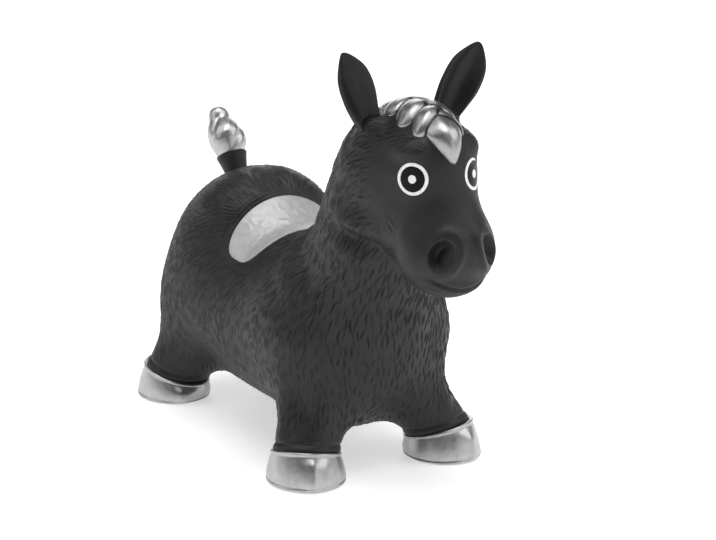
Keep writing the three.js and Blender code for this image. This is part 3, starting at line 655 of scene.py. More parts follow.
# Places where the blown-up skin is fuller or, below zero, slimmer than the field
FULLNESS = {
    "rump beside the saddle": (6.5, (bump, "x", -82, 30), (smooth, "z", 225, 250),
                               (smooth, "wide", 8, 28), (smooth, "out of saddle", 0, 9)),
    "top of the rump": (2.5, (bump, "x", -110, 24), (smooth, "z", 235, 255)),
    "chest": (8.0, (bump, "x", 160, 44), (bump, "z", 154, 34), (smooth, "wide", 50, 78)),
    "buttocks": (5.0, (smooth, "x", -120, -165), (bump, "z", 125, 45), (smooth, "wide", 30, 60)),
    "front legs": (-9.0, (smooth, "x", 140, 170), (bump, "z", 88, 32), (smooth, "wide", 78, 102)),
    "muzzle's sides": (-1.5, (smooth, "x", 325, 345), (bump, "z", 302, 18), (smooth, "wide", 28, 42)),
    "nose": (-2.2, (smooth, "x", 305, 330), (bump, "z", 322, 18)),
    "lips": (-2.0, (smooth, "x", 325, 345), (bump, "z", 260, 13)),
    "neck's sides": (-7.5, (smooth, "up neck", 238, 280), (smooth, "up neck", 415, 300),
                     (smooth, "neck side", 0.5, 0.95), (smooth, "x", 40, 90)),
}
for rise, *limits in FULLNESS.values():
    height += rise * shaped(*limits)

POLL_DEPTH, POLL_Z, POLL_BACK, POLL_FRONT = 2.5, (402, 424), (190, 215), (335, 310)


def poll_drop(x, z):
    """How much lower the skin lies under the forelock."""
    return POLL_DEPTH * smooth(z, *POLL_Z) * smooth(x, *POLL_BACK) * smooth(x, *POLL_FRONT)


height -= poll_drop(X, Z)

# Slow waves of the blown-up skin
WAVES, WAVE_HEIGHT, WAVE_LENGTHS, WAVE_PHASES = 8, 0.2, (90, 170), (0, 6)
for _ in range(WAVES):
    way = unit(RANDOM.normal(0, 1, 3))
    length = RANDOM.uniform(*WAVE_LENGTHS)
    phase = RANDOM.uniform(*WAVE_PHASES)
    height += WAVE_HEIGHT * hair * np.sin(points @ way * 2 * np.pi / length + phase)

# The face is smooth, and the poll nearly so
POLL_SMOOTHNESS = 0.75
face = shaped((smooth, "x", 252, 272), (smooth, "z", 238, 262))
face = np.maximum(face, shaped((smooth, "x", 280, 296), (smooth, "z", 205, 222)))
face *= 1 - shaped((smooth, "z", 390, 402))
hair *= 1 - face
hair *= 1 - POLL_SMOOTHNESS * shaped((smooth, "z", 405, 425))

# Nostrils: an oval hollow with steep walls, and a broad fold round its front
NOSTRIL, NOSTRIL_UP = vec(352, 26, 290), vec(0.35, -0.35, 1)
NOSTRIL_LONG, NOSTRIL_FRONT, NOSTRIL_BACK, NOSTRIL_REACH = 18.5, 12.5, 16.5, 26.0
NOSTRIL_DEPTHS, NOSTRIL_SLOPE = (13.8, 5.4), (-8, 11)  # at the back and the front, and between where
NOSTRIL_BOWL, NOSTRIL_WALL = 4, (1.0, 0.88)
FOLD_HEIGHT, FOLD_AT, FOLD_WIDTH, FOLD_STARTS = 3.4, 1.42, 0.3, (-14, 6)
RIM_HEIGHT, RIM_AT, RIM_WIDTH = 0.5, 1.12, 0.12
nostril = settle(moulded_skin, NOSTRIL[None])[0]
nostril_normal = unit(slope_of(moulded_skin, nostril[None]))[0]
long_way, short_way = tangents(nostril_normal, NOSTRIL_UP)
offset = mirrored - nostril
ahead = offset @ short_way * np.sign(short_way[0])
oval = np.hypot(
    offset @ long_way / NOSTRIL_LONG,
    ahead / np.where(ahead > 0, NOSTRIL_FRONT, NOSTRIL_BACK),
)
oval += np.where(np.abs(offset @ nostril_normal) > NOSTRIL_REACH, FAR, 0)
forward = smooth(offset[:, 0], *FOLD_STARTS)
nostril_depth = mix(*NOSTRIL_DEPTHS, smooth(ahead, *NOSTRIL_SLOPE))
height -= nostril_depth * (1 - np.minimum(oval, 1) ** NOSTRIL_BOWL) * smooth(oval, *NOSTRIL_WALL)
height += FOLD_HEIGHT * bump(oval, FOLD_AT, FOLD_WIDTH) * forward
height += RIM_HEIGHT * bump(oval, RIM_AT, RIM_WIDTH) * (1 - forward)

# Mouth: a line low round the muzzle, over a full lower lip
MOUTH_FRONT, MOUTH_RISE, MOUTH_TOP = 250.5, 0.0085, 292
MOUTH_LINES = [
    # rise, height from the mouth's line, half width
    (-2.3, 0, 1.5), (0.9, 4.5, 3.0), (1.0, -3.6, 2.2), (-1.1, -7, 1.2), (-0.8, -11, 1.2),
]
mouth_height = Z - (MOUTH_FRONT + MOUTH_RISE * Y**2)
at_mouth = shaped((smooth, "x", 308, 328), (smooth, "wide", 45, 33)) * (Z < MOUTH_TOP)
for rise, middle, width in MOUTH_LINES:
    height += rise * bump(mouth_height, middle, width) * at_mouth

# Folds of the cheek, jaw and breast, as creases along short lines
CREASES = [
    # depth, half width, line
    (1.5, 1.5, [(272, 52, 323), (277, 50, 313), (281, 48, 303)]),
    (1.5, 1.5, [(278, 51, 322), (286, 50, 314), (293, 50, 305)]),
    (2.2, 2.4, [(262, 36, 282), (270, 39, 280), (280, 41, 280), (290, 43, 284)]),
    (7.5, 9.0, [(212, 73, 296), (226, 67, 288), (242, 56, 284), (256, 47, 282), (266, 41, 281)]),
    (-4.5, 11.0, [(206, 72, 313), (222, 68, 304), (240, 60, 300), (256, 52, 298)]),
    (4.0, 13.0, [(200, 50, 236), (192, 46, 204), (182, 41, 170), (170, 38, 132)]),
]
CREASE_WIDTHS, CREASE_MARGIN = 5, 10  # how far round its line a crease is worked out
CREASE_ENDS, CREASE_FADE = (0.04, 0.96), 0.6
CREASE_LIP, LIP_DISTANCE, LIP_SPREAD = 0.45, 2.6, 1.2  # beside a crease, in shares of its sizes


def add_crease(depth, width, line):
    line = np.asarray(line, float)
    middle = line.mean(0)
    reach = np.linalg.norm(line - middle, axis=1).max() + CREASE_WIDTHS * width + CREASE_MARGIN
    near = np.linalg.norm(mirrored - middle, axis=1) < reach
    p = mirrored[near]
    distance = np.full(len(p), FAR)
    fade = np.zeros(len(p))
    for i in range(len(line) - 1):
        step = line[i + 1] - line[i]
        share = np.clip((p - line[i]) @ step / (step @ step), 0, 1)
        d = np.linalg.norm(p - line[i] - share[:, None] * step, axis=1)
        whole = np.clip((i + share) / (len(line) - 1), *CREASE_ENDS)
        fade = np.where(d < distance, np.sin(np.pi * whole) ** CREASE_FADE, fade)
        distance = np.minimum(distance, d)
    lip = CREASE_LIP * bump(distance, LIP_DISTANCE * width, LIP_SPREAD * width)
    height[near] += depth * fade * (lip - bump(distance, 0, width))


for crease in CREASES:
    add_crease(*crease)

# Strokes of the hair, which run down and back along the body
WITHERS = (smooth, "x", -10, 15), (smooth, "x", 110, 50), (smooth, "z", 192, 232)
FLANK_TURN = mix(-16, 44, smooth(Z, 95, 215))
CHEST_TURN = mix(-4, 14, smooth(Z, 110, 240))
RUMP_TURN = np.interp(Z, [110, 160, 225, 262], [-6, 22, 42, 84])
HAIR_TURNS = [
    # degrees from straight down towards the tail, and where
    (RUMP_TURN, (smooth, "x", -20, -80)),
    (CHEST_TURN, (smooth, "x", 60, 120), (smooth, "z", 250, 215)),
    (30, (smooth, "up neck", 235, 285), (smooth, "x", 40, 90)),  # neck
    (62, (smooth, "x", 225, 255), (smooth, "z", 255, 275)),  # cheek
    (12, *WITHERS),
]
SHORT_HAIR = 14.0, 5.4, 0.9, 0.95
HAIR_KINDS = [
    # length along, room across, half width and depth, and where
    ((19.0, 4.2, 0.85, 0.72), (smooth, "x", 90, 40)),  # flank
    ((14.0, 4.2, 0.9, 0.75), (smooth, "x", -20, -80), (smooth, "z", 130, 220)),  # rump
    ((20.0, 4.4, 1.0, 1.2), (smooth, "up neck", 215, 275), (smooth, "x", 25, 75)),  # neck
    ((13.0, 4.4, 1.0, 1.1), (smooth, "x", 222, 246), (smooth, "z", 262, 284)),  # cheek
    ((38.0, 3.3, 0.85, 0.95), *WITHERS),
]
hair_turn = FLANK_TURN
for angle, *limits in HAIR_TURNS:
    hair_turn = mix(hair_turn, angle, shaped(*limits))
hair_turn = np.radians(hair_turn)
flow = np.stack([-np.sin(hair_turn), 0 * hair_turn, -np.cos(hair_turn)], 1)
flow = unit(flow - normals * (flow * normals).sum(1)[:, None] + TINY)
beside = np.cross(normals, flow)
hair_sizes = [np.full(len(points), size) for size in SHORT_HAIR]
for kind, *limits in HAIR_KINDS:
    share = shaped(*limits)
    hair_sizes = [mix(size, new_size, share) for size, new_size in zip(hair_sizes, kind)]
STROKE_ALONG, STROKE_ACROSS, STROKE_WIDTH, STROKE_DEPTH = hair_sizes

LEAST_HAIR, MOST_CANDIDATES = 0.12, 120000
LENGTHS, WIDTHS, DEPTHS = (0.75, 1.35), (0.85, 1.15), (0.6, 1.15)  # of the sizes above
STROKE_LEAN, STROKE_BEND, STROKE_WAVE = 0.16, 0.14, 0.12
BEND_MIDDLE, WAVE_MIDDLE = 0.3, 0.6  # keep a stroke's curve about its own line
STROKE_TIP = 0.04
STROKE_MARGIN, STROKE_LAYER = 4, 9  # how far round and how far through the skin a stroke is drawn
STROKE_LIP, STROKE_LIP_AT, STROKE_LIP_WIDTH = 0.95, 2.0, 0.8
HASH_CELL = 25.0
NEIGHBOURS = [(i, j, k) for i in (-1, 0, 1) for j in (-1, 0, 1) for k in (-1, 0, 1)]
taken = {}
grooves = np.zeros(len(points))
ridges = np.zeros(len(points))

tree = KDTree(len(points))
for i, p in enumerate(points.tolist()):
    tree.insert(p, i)
tree.balance()


def is_clear(cell, centre, along, across):
    """Whether no stroke's middle lies in the ellipse round centre; along and across hold its shares."""
    cx, cy, cz = centre
    ax, ay, az = along
    bx, by, bz = across
    for i, j, k in NEIGHBOURS:
        for x, y, z in taken.get((cell[0] + i, cell[1] + j, cell[2] + k), ()):
            x, y, z = x - cx, y - cy, z - cz
            if (x * ax + y * ay + z * az) ** 2 + (x * bx + y * by + z * bz) ** 2 < 1:
                return False
    return True


def draw_stroke(i):
    """A groove with raised lips round the point i."""
    length = STROKE_ALONG[i] * RANDOM.uniform(*LENGTHS)
    width = STROKE_WIDTH[i] * RANDOM.uniform(*WIDTHS)
    depth = STROKE_DEPTH[i] * RANDOM.uniform(*DEPTHS) * hair[i]
    lean = RANDOM.normal(0, STROKE_LEAN)
    bend = RANDOM.uniform(-STROKE_BEND, STROKE_BEND) * length
    wave = RANDOM.uniform(-STROKE_WAVE, STROKE_WAVE) * length
    way, across = flow[i] + lean * beside[i], beside[i] - lean * flow[i]
    found = tree.find_range(points[i], length / 2 + STROKE_MARGIN)
    near = np.array([number for _, number, _ in found])
    d = points[near] - points[i]
    share = np.clip(2 * (d @ way) / length, -1, 1)
    end_gap = np.maximum(np.abs(d @ way) - length / 2, 0)
    curve = bend * (share**2 - BEND_MIDDLE) + wave * (share**3 - WAVE_MIDDLE * share)
    aside = d @ across - curve
    taper = np.sqrt(np.maximum(1 - share**2, STROKE_TIP))
    in_layer = np.abs(d @ normals[i]) <= STROKE_LAYER
    deep = depth * taper * bump(np.hypot(aside, end_gap), 0, width * taper) * in_layer
    lip = STROKE_LIP * depth * taper * bump(aside / (width * taper), STROKE_LIP_AT, STROKE_LIP_WIDTH)
    grooves[near] = np.maximum(grooves[near], deep)
    ridges[near] = np.maximum(ridges[near], lip * (end_gap == 0) * in_layer)


candidates = RANDOM.permutation(np.flatnonzero(hair > LEAST_HAIR))
candidates = candidates[:: max(1, len(candidates) // MOST_CANDIDATES)]
hash_cells = (points[candidates] // HASH_CELL).astype(int).tolist()
spots = points[candidates].tolist()
alongs = (flow / STROKE_ALONG[:, None])[candidates].tolist()
acrosses = (beside / STROKE_ACROSS[:, None])[candidates].tolist()
for i, cell, spot, along, across in zip(candidates, map(tuple, hash_cells), spots, alongs, acrosses):
    if is_clear(cell, spot, along, across):
        taken.setdefault(cell, []).append(spot)
        draw_stroke(i)
height += np.maximum(ridges - grooves, -grooves)

# Painted shade: grooves and nostrils are darkened inside
GROOVE_FULL = 1.7  # the depth of a groove whose painted shade is quite dark
NOSTRIL_DARK, NOSTRIL_DARK_OVAL, NOSTRIL_DARK_AHEAD = 0.5, (0.98, 0.7), (9, -3)
nostril_painted_shade = NOSTRIL_DARK * smooth(oval, *NOSTRIL_DARK_OVAL) * smooth(ahead, *NOSTRIL_DARK_AHEAD)
groove_painted_shade = np.clip(np.maximum(grooves / GROOVE_FULL, nostril_painted_shade), 0, 1)
skin_points = points + normals * height[:, None]
skin_normals = normals_of(skin_points, quads)

# The skin's pieces: trunk, neck, head and legs

NECK_WAY = unit(NECK_TOP - NECK_BASE)
NECK_SPAN, LEG_SPAN, LEG_PIECE_TOP = (255, 358), (9, 44), 110
HIDDEN_BELOW, HIDDEN_REACH = -4, 60  # the skin inside the hooves is left out
centres = points[quads].mean(1)
region = np.full(len(quads), "trunk_fore", dtype=object)
region[centres[:, 0] < SADDLE_X] = "trunk_rear"
region[(centres @ NECK_WAY > NECK_SPAN[0]) & (centres[:, 0] >= 0)] = "neck"
region[centres @ NECK_WAY > NECK_SPAN[1]] = "head"
for name, end, side in LEG_NAMES:
    along, off = along_leg(centres, end, side)
    low = centres[:, 2] < LEG_PIECE_TOP
    region[(along < LEG_SPAN[1]) & (off < LEG_REACH) & low] = "leg_" + name
    in_hoof = above_collar(centres, end, side) < HIDDEN_BELOW
    region[in_hoof & (off < HIDDEN_REACH) & low] = "hidden"


def skin_piece(name):
    used, faces = np.unique(quads[region == name], return_inverse=True)
    # the groove mark holds the painted shade of the grooves and nostrils
    marks = {"groove": groove_painted_shade[used]}
    faces = faces.reshape(-1, 4)
    piece = make_piece(name + "_skin", skin_points[used], faces, RUBBER, skin_normals[used], marks)
    return piece


for name in ("trunk_fore", "trunk_rear"):
    piece = skin_piece(name)
    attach(piece, "trunk")
    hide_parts("trunk_skin")
neck = skin_piece("neck")
bend(neck, "trunk", "head", 0, NECK_WAY, NECK_SPAN)
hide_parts("neck_skin")
head = skin_piece("head")
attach(head, "head")
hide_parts("head_skin")
for name, end, side in LEG_NAMES:
    leg = skin_piece("leg_" + name)
    bend(leg, "feet", "trunk", ankle(end, side), leg_axis(end, side), LEG_SPAN)
    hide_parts("leg_" + name)


# Lofts


def loft(rings, cap_start=True, cap_end=True):
    """Points and faces of a surface through rings of equally many points."""
    rings = [np.asarray(r, float) for r in rings]
    count = len(rings[0])
    faces = []
    for r in range(len(rings) - 1):
        for i in range(count):
            j = (i + 1) % count
            faces.append((r * count + i, r * count + j, (r + 1) * count + j, (r + 1) * count + i))
    verts = np.concatenate(rings)
    if cap_start:
        verts = np.concatenate([verts, rings[0].mean(0)[None]])
        faces += [(len(verts) - 1, (i + 1) % count, i) for i in range(count)]
    if cap_end:
        verts = np.concatenate([verts, rings[-1].mean(0)[None]])
        start = (len(rings) - 1) * count
        faces += [(len(verts) - 1, start + i, start + (i + 1) % count) for i in range(count)]
    return verts, faces


def loft_piece(name, rings, material, slot, **caps):
    piece = make_piece(name, *loft(rings, **caps), material)
    return piece


def circle(count):
    return 2 * np.pi * np.arange(count) / count


ROUNDING, ROUNDING_STEPS = 0.07, 15


def rounded(x, xs, ys, spread=ROUNDING):
    """Values between given ones, with the corners rounded."""
    steps = np.linspace(-spread, spread, ROUNDING_STEPS)
    return np.mean([np.interp(np.clip(x + s, xs[0], xs[-1]), xs, ys) for s in steps], 0)


# Hooves

HOOF_LENGTH, HOOF_WIDTH, COLLAR_LENGTH, COLLAR_WIDTH, HOOF_SIDES = 96, 88, 80, 76, 144
TOE_TURN = math.radians(18)  # how far the toes point outwards
TOE_HEIGHT, TOE_SPREAD, TOE_ROUND, TOE_CROWD = 5.0, math.radians(34), math.radians(1.2), 0.65
TOE_POWER, TOE_TOP, TOE_FOOT = 1.2, (0.92, 0.6), (-0.05, 0.2)
HOOF_PROFILE = [
    # rise, and how far inside the straight wall
    (0.0, 12), (0.0, 5), (0.0, 2.6), (0.012, 1.2), (0.035, 0.4), (0.06, 0.05), (0.085, 0.15),
    (0.1, 0.6), (0.112, 0.8), (0.125, 0.6), (0.145, 0.05), (0.18, -0.3), (0.26, -0.6), (0.38, -0.8),
    (0.5, -0.7), (0.62, -0.4), (0.74, 0.0), (0.82, 0.35), (0.87, 0.6), (0.885, 0.6), (0.9, 0.3),
    (0.915, -0.4), (0.93, -0.8), (0.95, -1.0), (0.97, -0.8), (0.985, -0.2), (0.995, 0.6),
    (0.99, 2.0), (0.96, 5.0), (0.9, 9.0),
]


def hoof_ring(end, side, rise, inset):
    toe = side * TOE_TURN
    angle = circle(HOOF_SIDES) - TOE_CROWD * np.sin(circle(HOOF_SIDES)) + toe
    half_length = mix(HOOF_LENGTH, COLLAR_LENGTH, rise) / 2 - inset
    half_width = mix(HOOF_WIDTH, COLLAR_WIDTH, rise) / 2 - inset
    off_toe = np.abs((angle - toe + np.pi) % (2 * np.pi) - np.pi)
    prow = np.maximum(0, 1 - np.hypot(off_toe, TOE_ROUND) / TOE_SPREAD) ** TOE_POWER
    ridge = TOE_HEIGHT * prow * smooth(rise, *TOE_TOP) * smooth(rise, *TOE_FOOT)
    x = (half_length + ridge) * np.cos(angle)
    y = (half_width + ridge) * np.sin(angle)
    slopes = collar_slopes(end, side)
    base = ankle(end, side) - hoof_centre(end, side)
    z = rise * (slopes[0] * x + slopes[1] * y) + rise * HOOF_HEIGHT
    return np.stack([x + rise * base[0], y + rise * base[1], z], 1) + hoof_centre(end, side)


for name, end, side in LEG_NAMES:
    rings = [hoof_ring(end, side, rise, inset) for rise, inset in HOOF_PROFILE]
    hoof = loft_piece("hoof_" + name + "_painted", rings, SILVER, "silver_paint")
    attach(hoof, "feet")
    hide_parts("hoof_" + name)


# Ears: hollow leaves, of which the left one is wider and turned in more

EAR_LENGTH, EAR_LEAN, EAR_SIDES, EAR_RINGS, EAR_TIP_RINGS = 83, 1, 96, 44, 25
EAR_WIDTH, EAR_TURN, EAR_SPLAY = {1: 45, -1: 40.5}, {1: -12, -1: -2}, {1: 26.5, -1: 23}
EAR_MOVED = {1: vec(-7, -3, 0), -1: vec(-7, -0.5, 0)}
EAR_TIP_START, EAR_TIP_POWER, EAR_TIP_LEAST = 0.66, 0.5, 0.0004
EAR_SHARES = [-0.2, 0.0, 0.15, 0.35, 0.55, 0.7, 0.8, 1.0]  # of the length, for the lists below
EAR_OUTLINE = [0.66, 0.72, 0.85, 0.99, 1.0, 0.91, 0.79, 0.52]  # of the half width, before the tip
EAR_BACK = [9.0, 9.2, 8.6, 7.4, 6.4, 5.8, 5.2, 4.0]  # how far the back bulges
EAR_RIM = [7.0, 6.0, 4.6, 2.9, 2.2, 1.9, 1.7, 1.2]  # how far the rim stands forward
EAR_HOLLOW = [3.0, 6.0, 9.0, 9.4, 8.2, 6.6, 5.0, 1.8]  # depth behind the rim
EAR_RIM_EDGE, EAR_HOLLOW_EDGE = (1.0, 0.84), (0.96, 0.15)
EAR_CUP, EAR_CUP_MIDDLE, EAR_CUP_STARTS = 4.5, 0.4, (0.05, 0.5)
EAR_SPAN = 4, 34  # a span along the ear from its root, passed to bend()


def ear_ring(side, u):
    angle = circle(EAR_SIDES)
    v, front = np.sin(angle), np.cos(angle) > 0
    edge = np.abs(v)
    past = max(u - EAR_TIP_START, 0) / (1 - EAR_TIP_START)
    tip = max(1 - past**2, EAR_TIP_LEAST) ** EAR_TIP_POWER
    wide = rounded(u, EAR_SHARES, EAR_OUTLINE) * tip * EAR_WIDTH[side] / 2
    profiles = EAR_BACK, EAR_RIM, EAR_HOLLOW
    back, rim, hollow = (rounded(u, EAR_SHARES, p) * math.sqrt(tip) for p in profiles)
    inside = rim * smooth(edge, *EAR_RIM_EDGE) - hollow * smooth(edge, *EAR_HOLLOW_EDGE)
    x = np.where(front, inside, back * np.cos(angle))
    x = x + EAR_CUP * (v**2 - EAR_CUP_MIDDLE) * smooth(u, *EAR_CUP_STARTS) * tip
    return np.stack([x, wide * v, np.full_like(v, u * EAR_LENGTH)], 1)


def ear_rings(side):
    tip_way = np.sin(np.linspace(0, 1, EAR_TIP_RINGS + 1)[1:] * np.pi / 2)
    straight = np.linspace(EAR_SHARES[0], EAR_TIP_START, EAR_RINGS)
    shares = np.concatenate([straight, mix(EAR_TIP_START, 1, tip_way)])
    turns = -side * EAR_SPLAY[side], EAR_LEAN, side * EAR_TURN[side]
    way = np.array(Euler([math.radians(turn) for turn in turns]).to_matrix())
    root = EAR_ROOT * vec(1, side, 1) + EAR_MOVED[side]
    return [ear_ring(side, u) @ way.T + root for u in shares]


for name, side in SIDES.items():
    ear = loft_piece(f"ear_{name}_leaf", ear_rings(side), RUBBER, "black_rubber")
    bend(ear, "head", f"{name}_ear", EAR_ROOT * vec(1, side, 1), EAR_AXIS * vec(1, side, 1), EAR_SPAN)
    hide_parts(f"ear_{name}")


# Tail: a stub that widens to a rim, and a twisted tuft

TAIL_ROOT = joint_place("tail_wag") + vec(2.5, 1, 0)
TAIL_SLANT = math.radians(34)
TAIL_AXIS = unit(vec(-math.sin(TAIL_SLANT), 0, math.cos(TAIL_SLANT)))
TAIL_SIDE = vec(0, 1, 0)
TAIL_FRONT = np.cross(TAIL_SIDE, TAIL_AXIS)
TAIL_SPAN = -2, 14
STUB_SIDES = 72
STUB_PROFILE = [
    # radius, height
    (12.5, -10), (13.4, -5), (14.0, 0), (14.6, 4), (15.6, 9), (16.8, 14), (18.0, 18), (18.6, 20),
    (18.8, 20.9), (18.5, 21.6), (17.5, 21.9), (14, 21.9), (9, 21),
]
TUFT_START, TUFT_LENGTH, TUFT_RADIUS, TUFT_TWIST = 21.4, 66.0, 23.0, math.radians(150)
TUFT_LEAN, TUFT_LEANS = 4.5, (0.35, 0.8)
TUFT_RINGS, TUFT_SIDES, TUFT_ROUNDING = 90, 120, 0.03
TUFT_ALONG = [0, 0.05, 0.14, 0.26, 0.38, 0.5, 0.6, 0.67, 0.72, 0.78, 0.86, 0.93, 0.975, 1.0]
TUFT_WIDE = [0.72, 0.78, 0.92, 1.0, 1.0, 0.92, 0.8, 0.68, 0.6, 0.56, 0.52, 0.42, 0.26, 0.03]
TUFT_LOBES, TUFT_DEPTH, TUFT_PHASE, TUFT_POWER = 3, 0.16, 0.6, 0.8
TUFT_GROOVES_START, TUFT_GROOVES_END = (0.0, 0.16), (0.86, 0.66)
STRANDS, STRAND_DEPTH = 9, 0.16


def tail_ring(radii, along):
    angle = circle(len(radii))
    forward, aside = radii * np.cos(angle), radii * np.sin(angle)
    return TAIL_ROOT + forward[:, None] * TAIL_FRONT + aside[:, None] * TAIL_SIDE + along * TAIL_AXIS


def tuft_ring(t):
    angle = circle(TUFT_SIDES) - TUFT_TWIST * t
    lobe = np.abs(np.sin(TUFT_LOBES / 2 * angle + TUFT_PHASE)) ** TUFT_POWER
    depth = smooth(t, *TUFT_GROOVES_START) * smooth(t, *TUFT_GROOVES_END)
    radii = rounded(t, TUFT_ALONG, TUFT_WIDE, TUFT_ROUNDING) * TUFT_RADIUS
    radii = radii * (1 - TUFT_DEPTH * depth * (1 - lobe)) + STRAND_DEPTH * depth * np.cos(STRANDS * angle)
    lean = TUFT_LEAN * smooth(t, *TUFT_LEANS)
    return tail_ring(radii, TUFT_START + t * TUFT_LENGTH) - lean * TAIL_FRONT


rings = [tail_ring(np.full(STUB_SIDES, radius), along) for radius, along in STUB_PROFILE]
stub = loft_piece("tail_stub_ring", rings, RUBBER, "black_rubber")
bend(stub, "trunk", "tail", TAIL_ROOT, TAIL_AXIS, TAIL_SPAN)
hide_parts("tail_stub")
rings = [tuft_ring(t) for t in np.linspace(0, 1, TUFT_RINGS)]
tuft = loft_piece("tail_tuft_twist", rings, SILVER, "silver_paint")
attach(tuft, "tail")
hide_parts("tail_tuft")

# Forelock: lobes that overlap from the poll to the forehead, each as high as it is thick

LOCKS = [
    # root, tip, half width, thickness, how much it narrows to its tip
    ((209, 6, 420), (224, -19, 421), 11.5, 4.4, 0.15),
    ((213, -6, 420), (228, 18, 421), 11.5, 4.4, 0.15),
    ((232, 9, 426), (249, -28, 418), 14.5, 6.2, 0.1),
    ((237, -8, 426), (253, 25, 418), 14, 6, 0.1),
    ((259, 9, 428), (279, -31, 414), 16, 7.4, 0.1),
    ((264, -8, 428), (283, 25, 414), 15, 6.8, 0.1),
    ((283, 9, 427), (304, -28, 407), 13.5, 9.4, 0.15),
    ((288, -7, 425), (312, 17, 404), 13, 8.4, 0.2),
    ((296, -2, 424), (331, -2, 382), 19.5, 11.4, 0.5),
]
LOCK_OVER, LOCK_FULL, LOCK_NARROWS = 3, 1.06, (-0.4, 1.0)
LOCK_EDGE, LOCK_LIFT, LOCK_SUNK = 0.8, 0.5, 1.5
LOCKS_LOW, LOCKS_HIGH, LOCK_CELL = vec(192, -42, 360), vec(348, 42, 452), 1.3
LOCK_WAVE, LOCK_WAVES = 0.2, 8
LOCK_LINE, LOCK_LINE_AT, LOCK_LINE_WIDTH, LOCK_LINES_START = 0.5, 0.72, 0.09, (0.5, 3)
LOCK_DARK_TONE, BETWEEN_LOCKS = 0.22, (1.8, 0.2)  # how much darker the forelock's tone is; between the locks, painted shade as dark as bare rubber


def lock_frame(root, tip):
    """The middle of a lock on the skin, its way, the way across it, and half its length."""
    ends = settle(skin, np.array([root, tip], float), rounds=4)
    middle = settle(skin, ends.mean(0)[None], rounds=4)[0]
    normal = unit(slope_of(skin, middle[None]))[0]
    half_length = np.linalg.norm(ends[1] - ends[0]) / 2 + LOCK_OVER
    return middle, *tangents(normal, ends[1] - ends[0]), half_length


LOCK_FRAMES = [(lock_frame(root, tip), sizes) for root, tip, *sizes in LOCKS]


def above_skin(p):
    return skin(p) + poll_drop(p[:, 0], p[:, 2])


def lock_fields(p):
    """Each lock's field at p, and how far across the lock p is."""
    above = above_skin(p)
    fields, asides = [], []
    for (middle, way, across, half_length), (half, thick, narrowing) in LOCK_FRAMES:
        along = (p - middle) @ way / half_length
        aside = (p - middle) @ across
        taper = LOCK_FULL - narrowing * smooth(along, *LOCK_NARROWS)
        q = np.stack([along, aside / (half * taper), (above - LOCK_LIFT) / thick], 1)
        fields.append((np.linalg.norm(q, axis=1) - 1) * thick)
        asides.append(aside / half)
    return np.array(fields), np.array(asides)


def forelock_field(p):
    fields, _ = lock_fields(p)
    whole = fields[0]
    for field in fields[1:]:
        whole = soft_union(whole, field, LOCK_EDGE)
    return np.maximum(whole, -LOCK_SUNK - above_skin(p))


lock_points, lock_quads = surface_net(forelock_field, LOCKS_LOW, LOCKS_HIGH, LOCK_CELL)
lock_points = relax(forelock_field, lock_points, lock_quads, rounds=2)
lock_points, lock_quads = subdivide(lock_points, lock_quads)
lock_points = settle(forelock_field, lock_points, 1)
fields, asides = lock_fields(lock_points)
owner = fields.argmin(0)
aside = asides[owner, np.arange(len(owner))]
strand = LOCK_WAVE * np.cos(aside * LOCK_WAVES + owner)
strand -= LOCK_LINE * bump(aside, LOCK_LINE_AT, LOCK_LINE_WIDTH)
strand *= smooth(skin(lock_points), *LOCK_LINES_START)
# Painted shade between the locks, where the two nearest locks meet, over a darker tone on the whole
# forelock
nearest = np.partition(fields, 1, axis=0)
tone_and_gap_shade = mix(LOCK_DARK_TONE, 1, smooth(nearest[1] - nearest[0], *BETWEEN_LOCKS))
lock_points = lock_points + unit(slope_of(forelock_field, lock_points)) * strand[:, None]
forelock = make_piece("forelock_locks", lock_points, lock_quads, SILVER, marks={"tone_and_gap_shade": tone_and_gap_shade})
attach(forelock, "head")
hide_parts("forelock")


# Eyes: paint that follows the skin, on the left side nearer the nose


def node_centre(node):
    low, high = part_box(node)
    return np.array((low + high) / 2) / MM + SHIFT


EYE_MOVED = {"left": vec(11, -14.5, 0.5), "right": vec(0, 0, 0)}
EYE_SIDES, EYE_ROUNDS = 96, 4
EYE_RADIUS, DISC_RADIUS, DOT_RADIUS = 17, 13.6, 4.4
EYE_PARTS = {
    # radius and height above the skin, from the middle outwards
    "ring": (WHITE, "white_paint", [
        (DISC_RADIUS - 0.2, 0.1), (DISC_RADIUS, 0.5), (DISC_RADIUS + 0.4, 0.62),
        (EYE_RADIUS - 0.5, 0.62), (EYE_RADIUS - 0.1, 0.45), (EYE_RADIUS, -0.2),
    ]),
    "disc": (GLOSS, "gloss_black", [
        (DOT_RADIUS - 0.6, 0.6), (DOT_RADIUS + 1, 0.66), (9, 0.6), (DISC_RADIUS - 1, 0.48),
        (DISC_RADIUS, 0.36), (DISC_RADIUS + 0.1, -0.1),
    ]),
    "dot": (WHITE, "white_paint", [
        (0.6, 1.05), (2, 1.02), (3.4, 0.94), (4.0, 0.84), (DOT_RADIUS, 0.66), (DOT_RADIUS, 0.2),
    ]),
}


def eye_rings(side_name, profile):
    centre = node_centre(f"eye_dot_{side_name}") + EYE_MOVED[side_name]
    centre = settle(moulded_skin, centre[None], EYE_ROUNDS)[0]
    normal = unit(slope_of(moulded_skin, centre[None]))[0]
    across, up = tangents(normal, vec(0, 1, 0))
    angle = circle(EYE_SIDES)[:, None]
    rings = []
    for radius, lift in profile:
        p = centre + radius * (np.cos(angle) * across + np.sin(angle) * up)
        for _ in range(EYE_ROUNDS):
            p = p - normal * (moulded_skin(p) / (slope_of(moulded_skin, p) @ normal))[:, None]
        rings.append(p + unit(slope_of(moulded_skin, p)) * lift)
    return rings


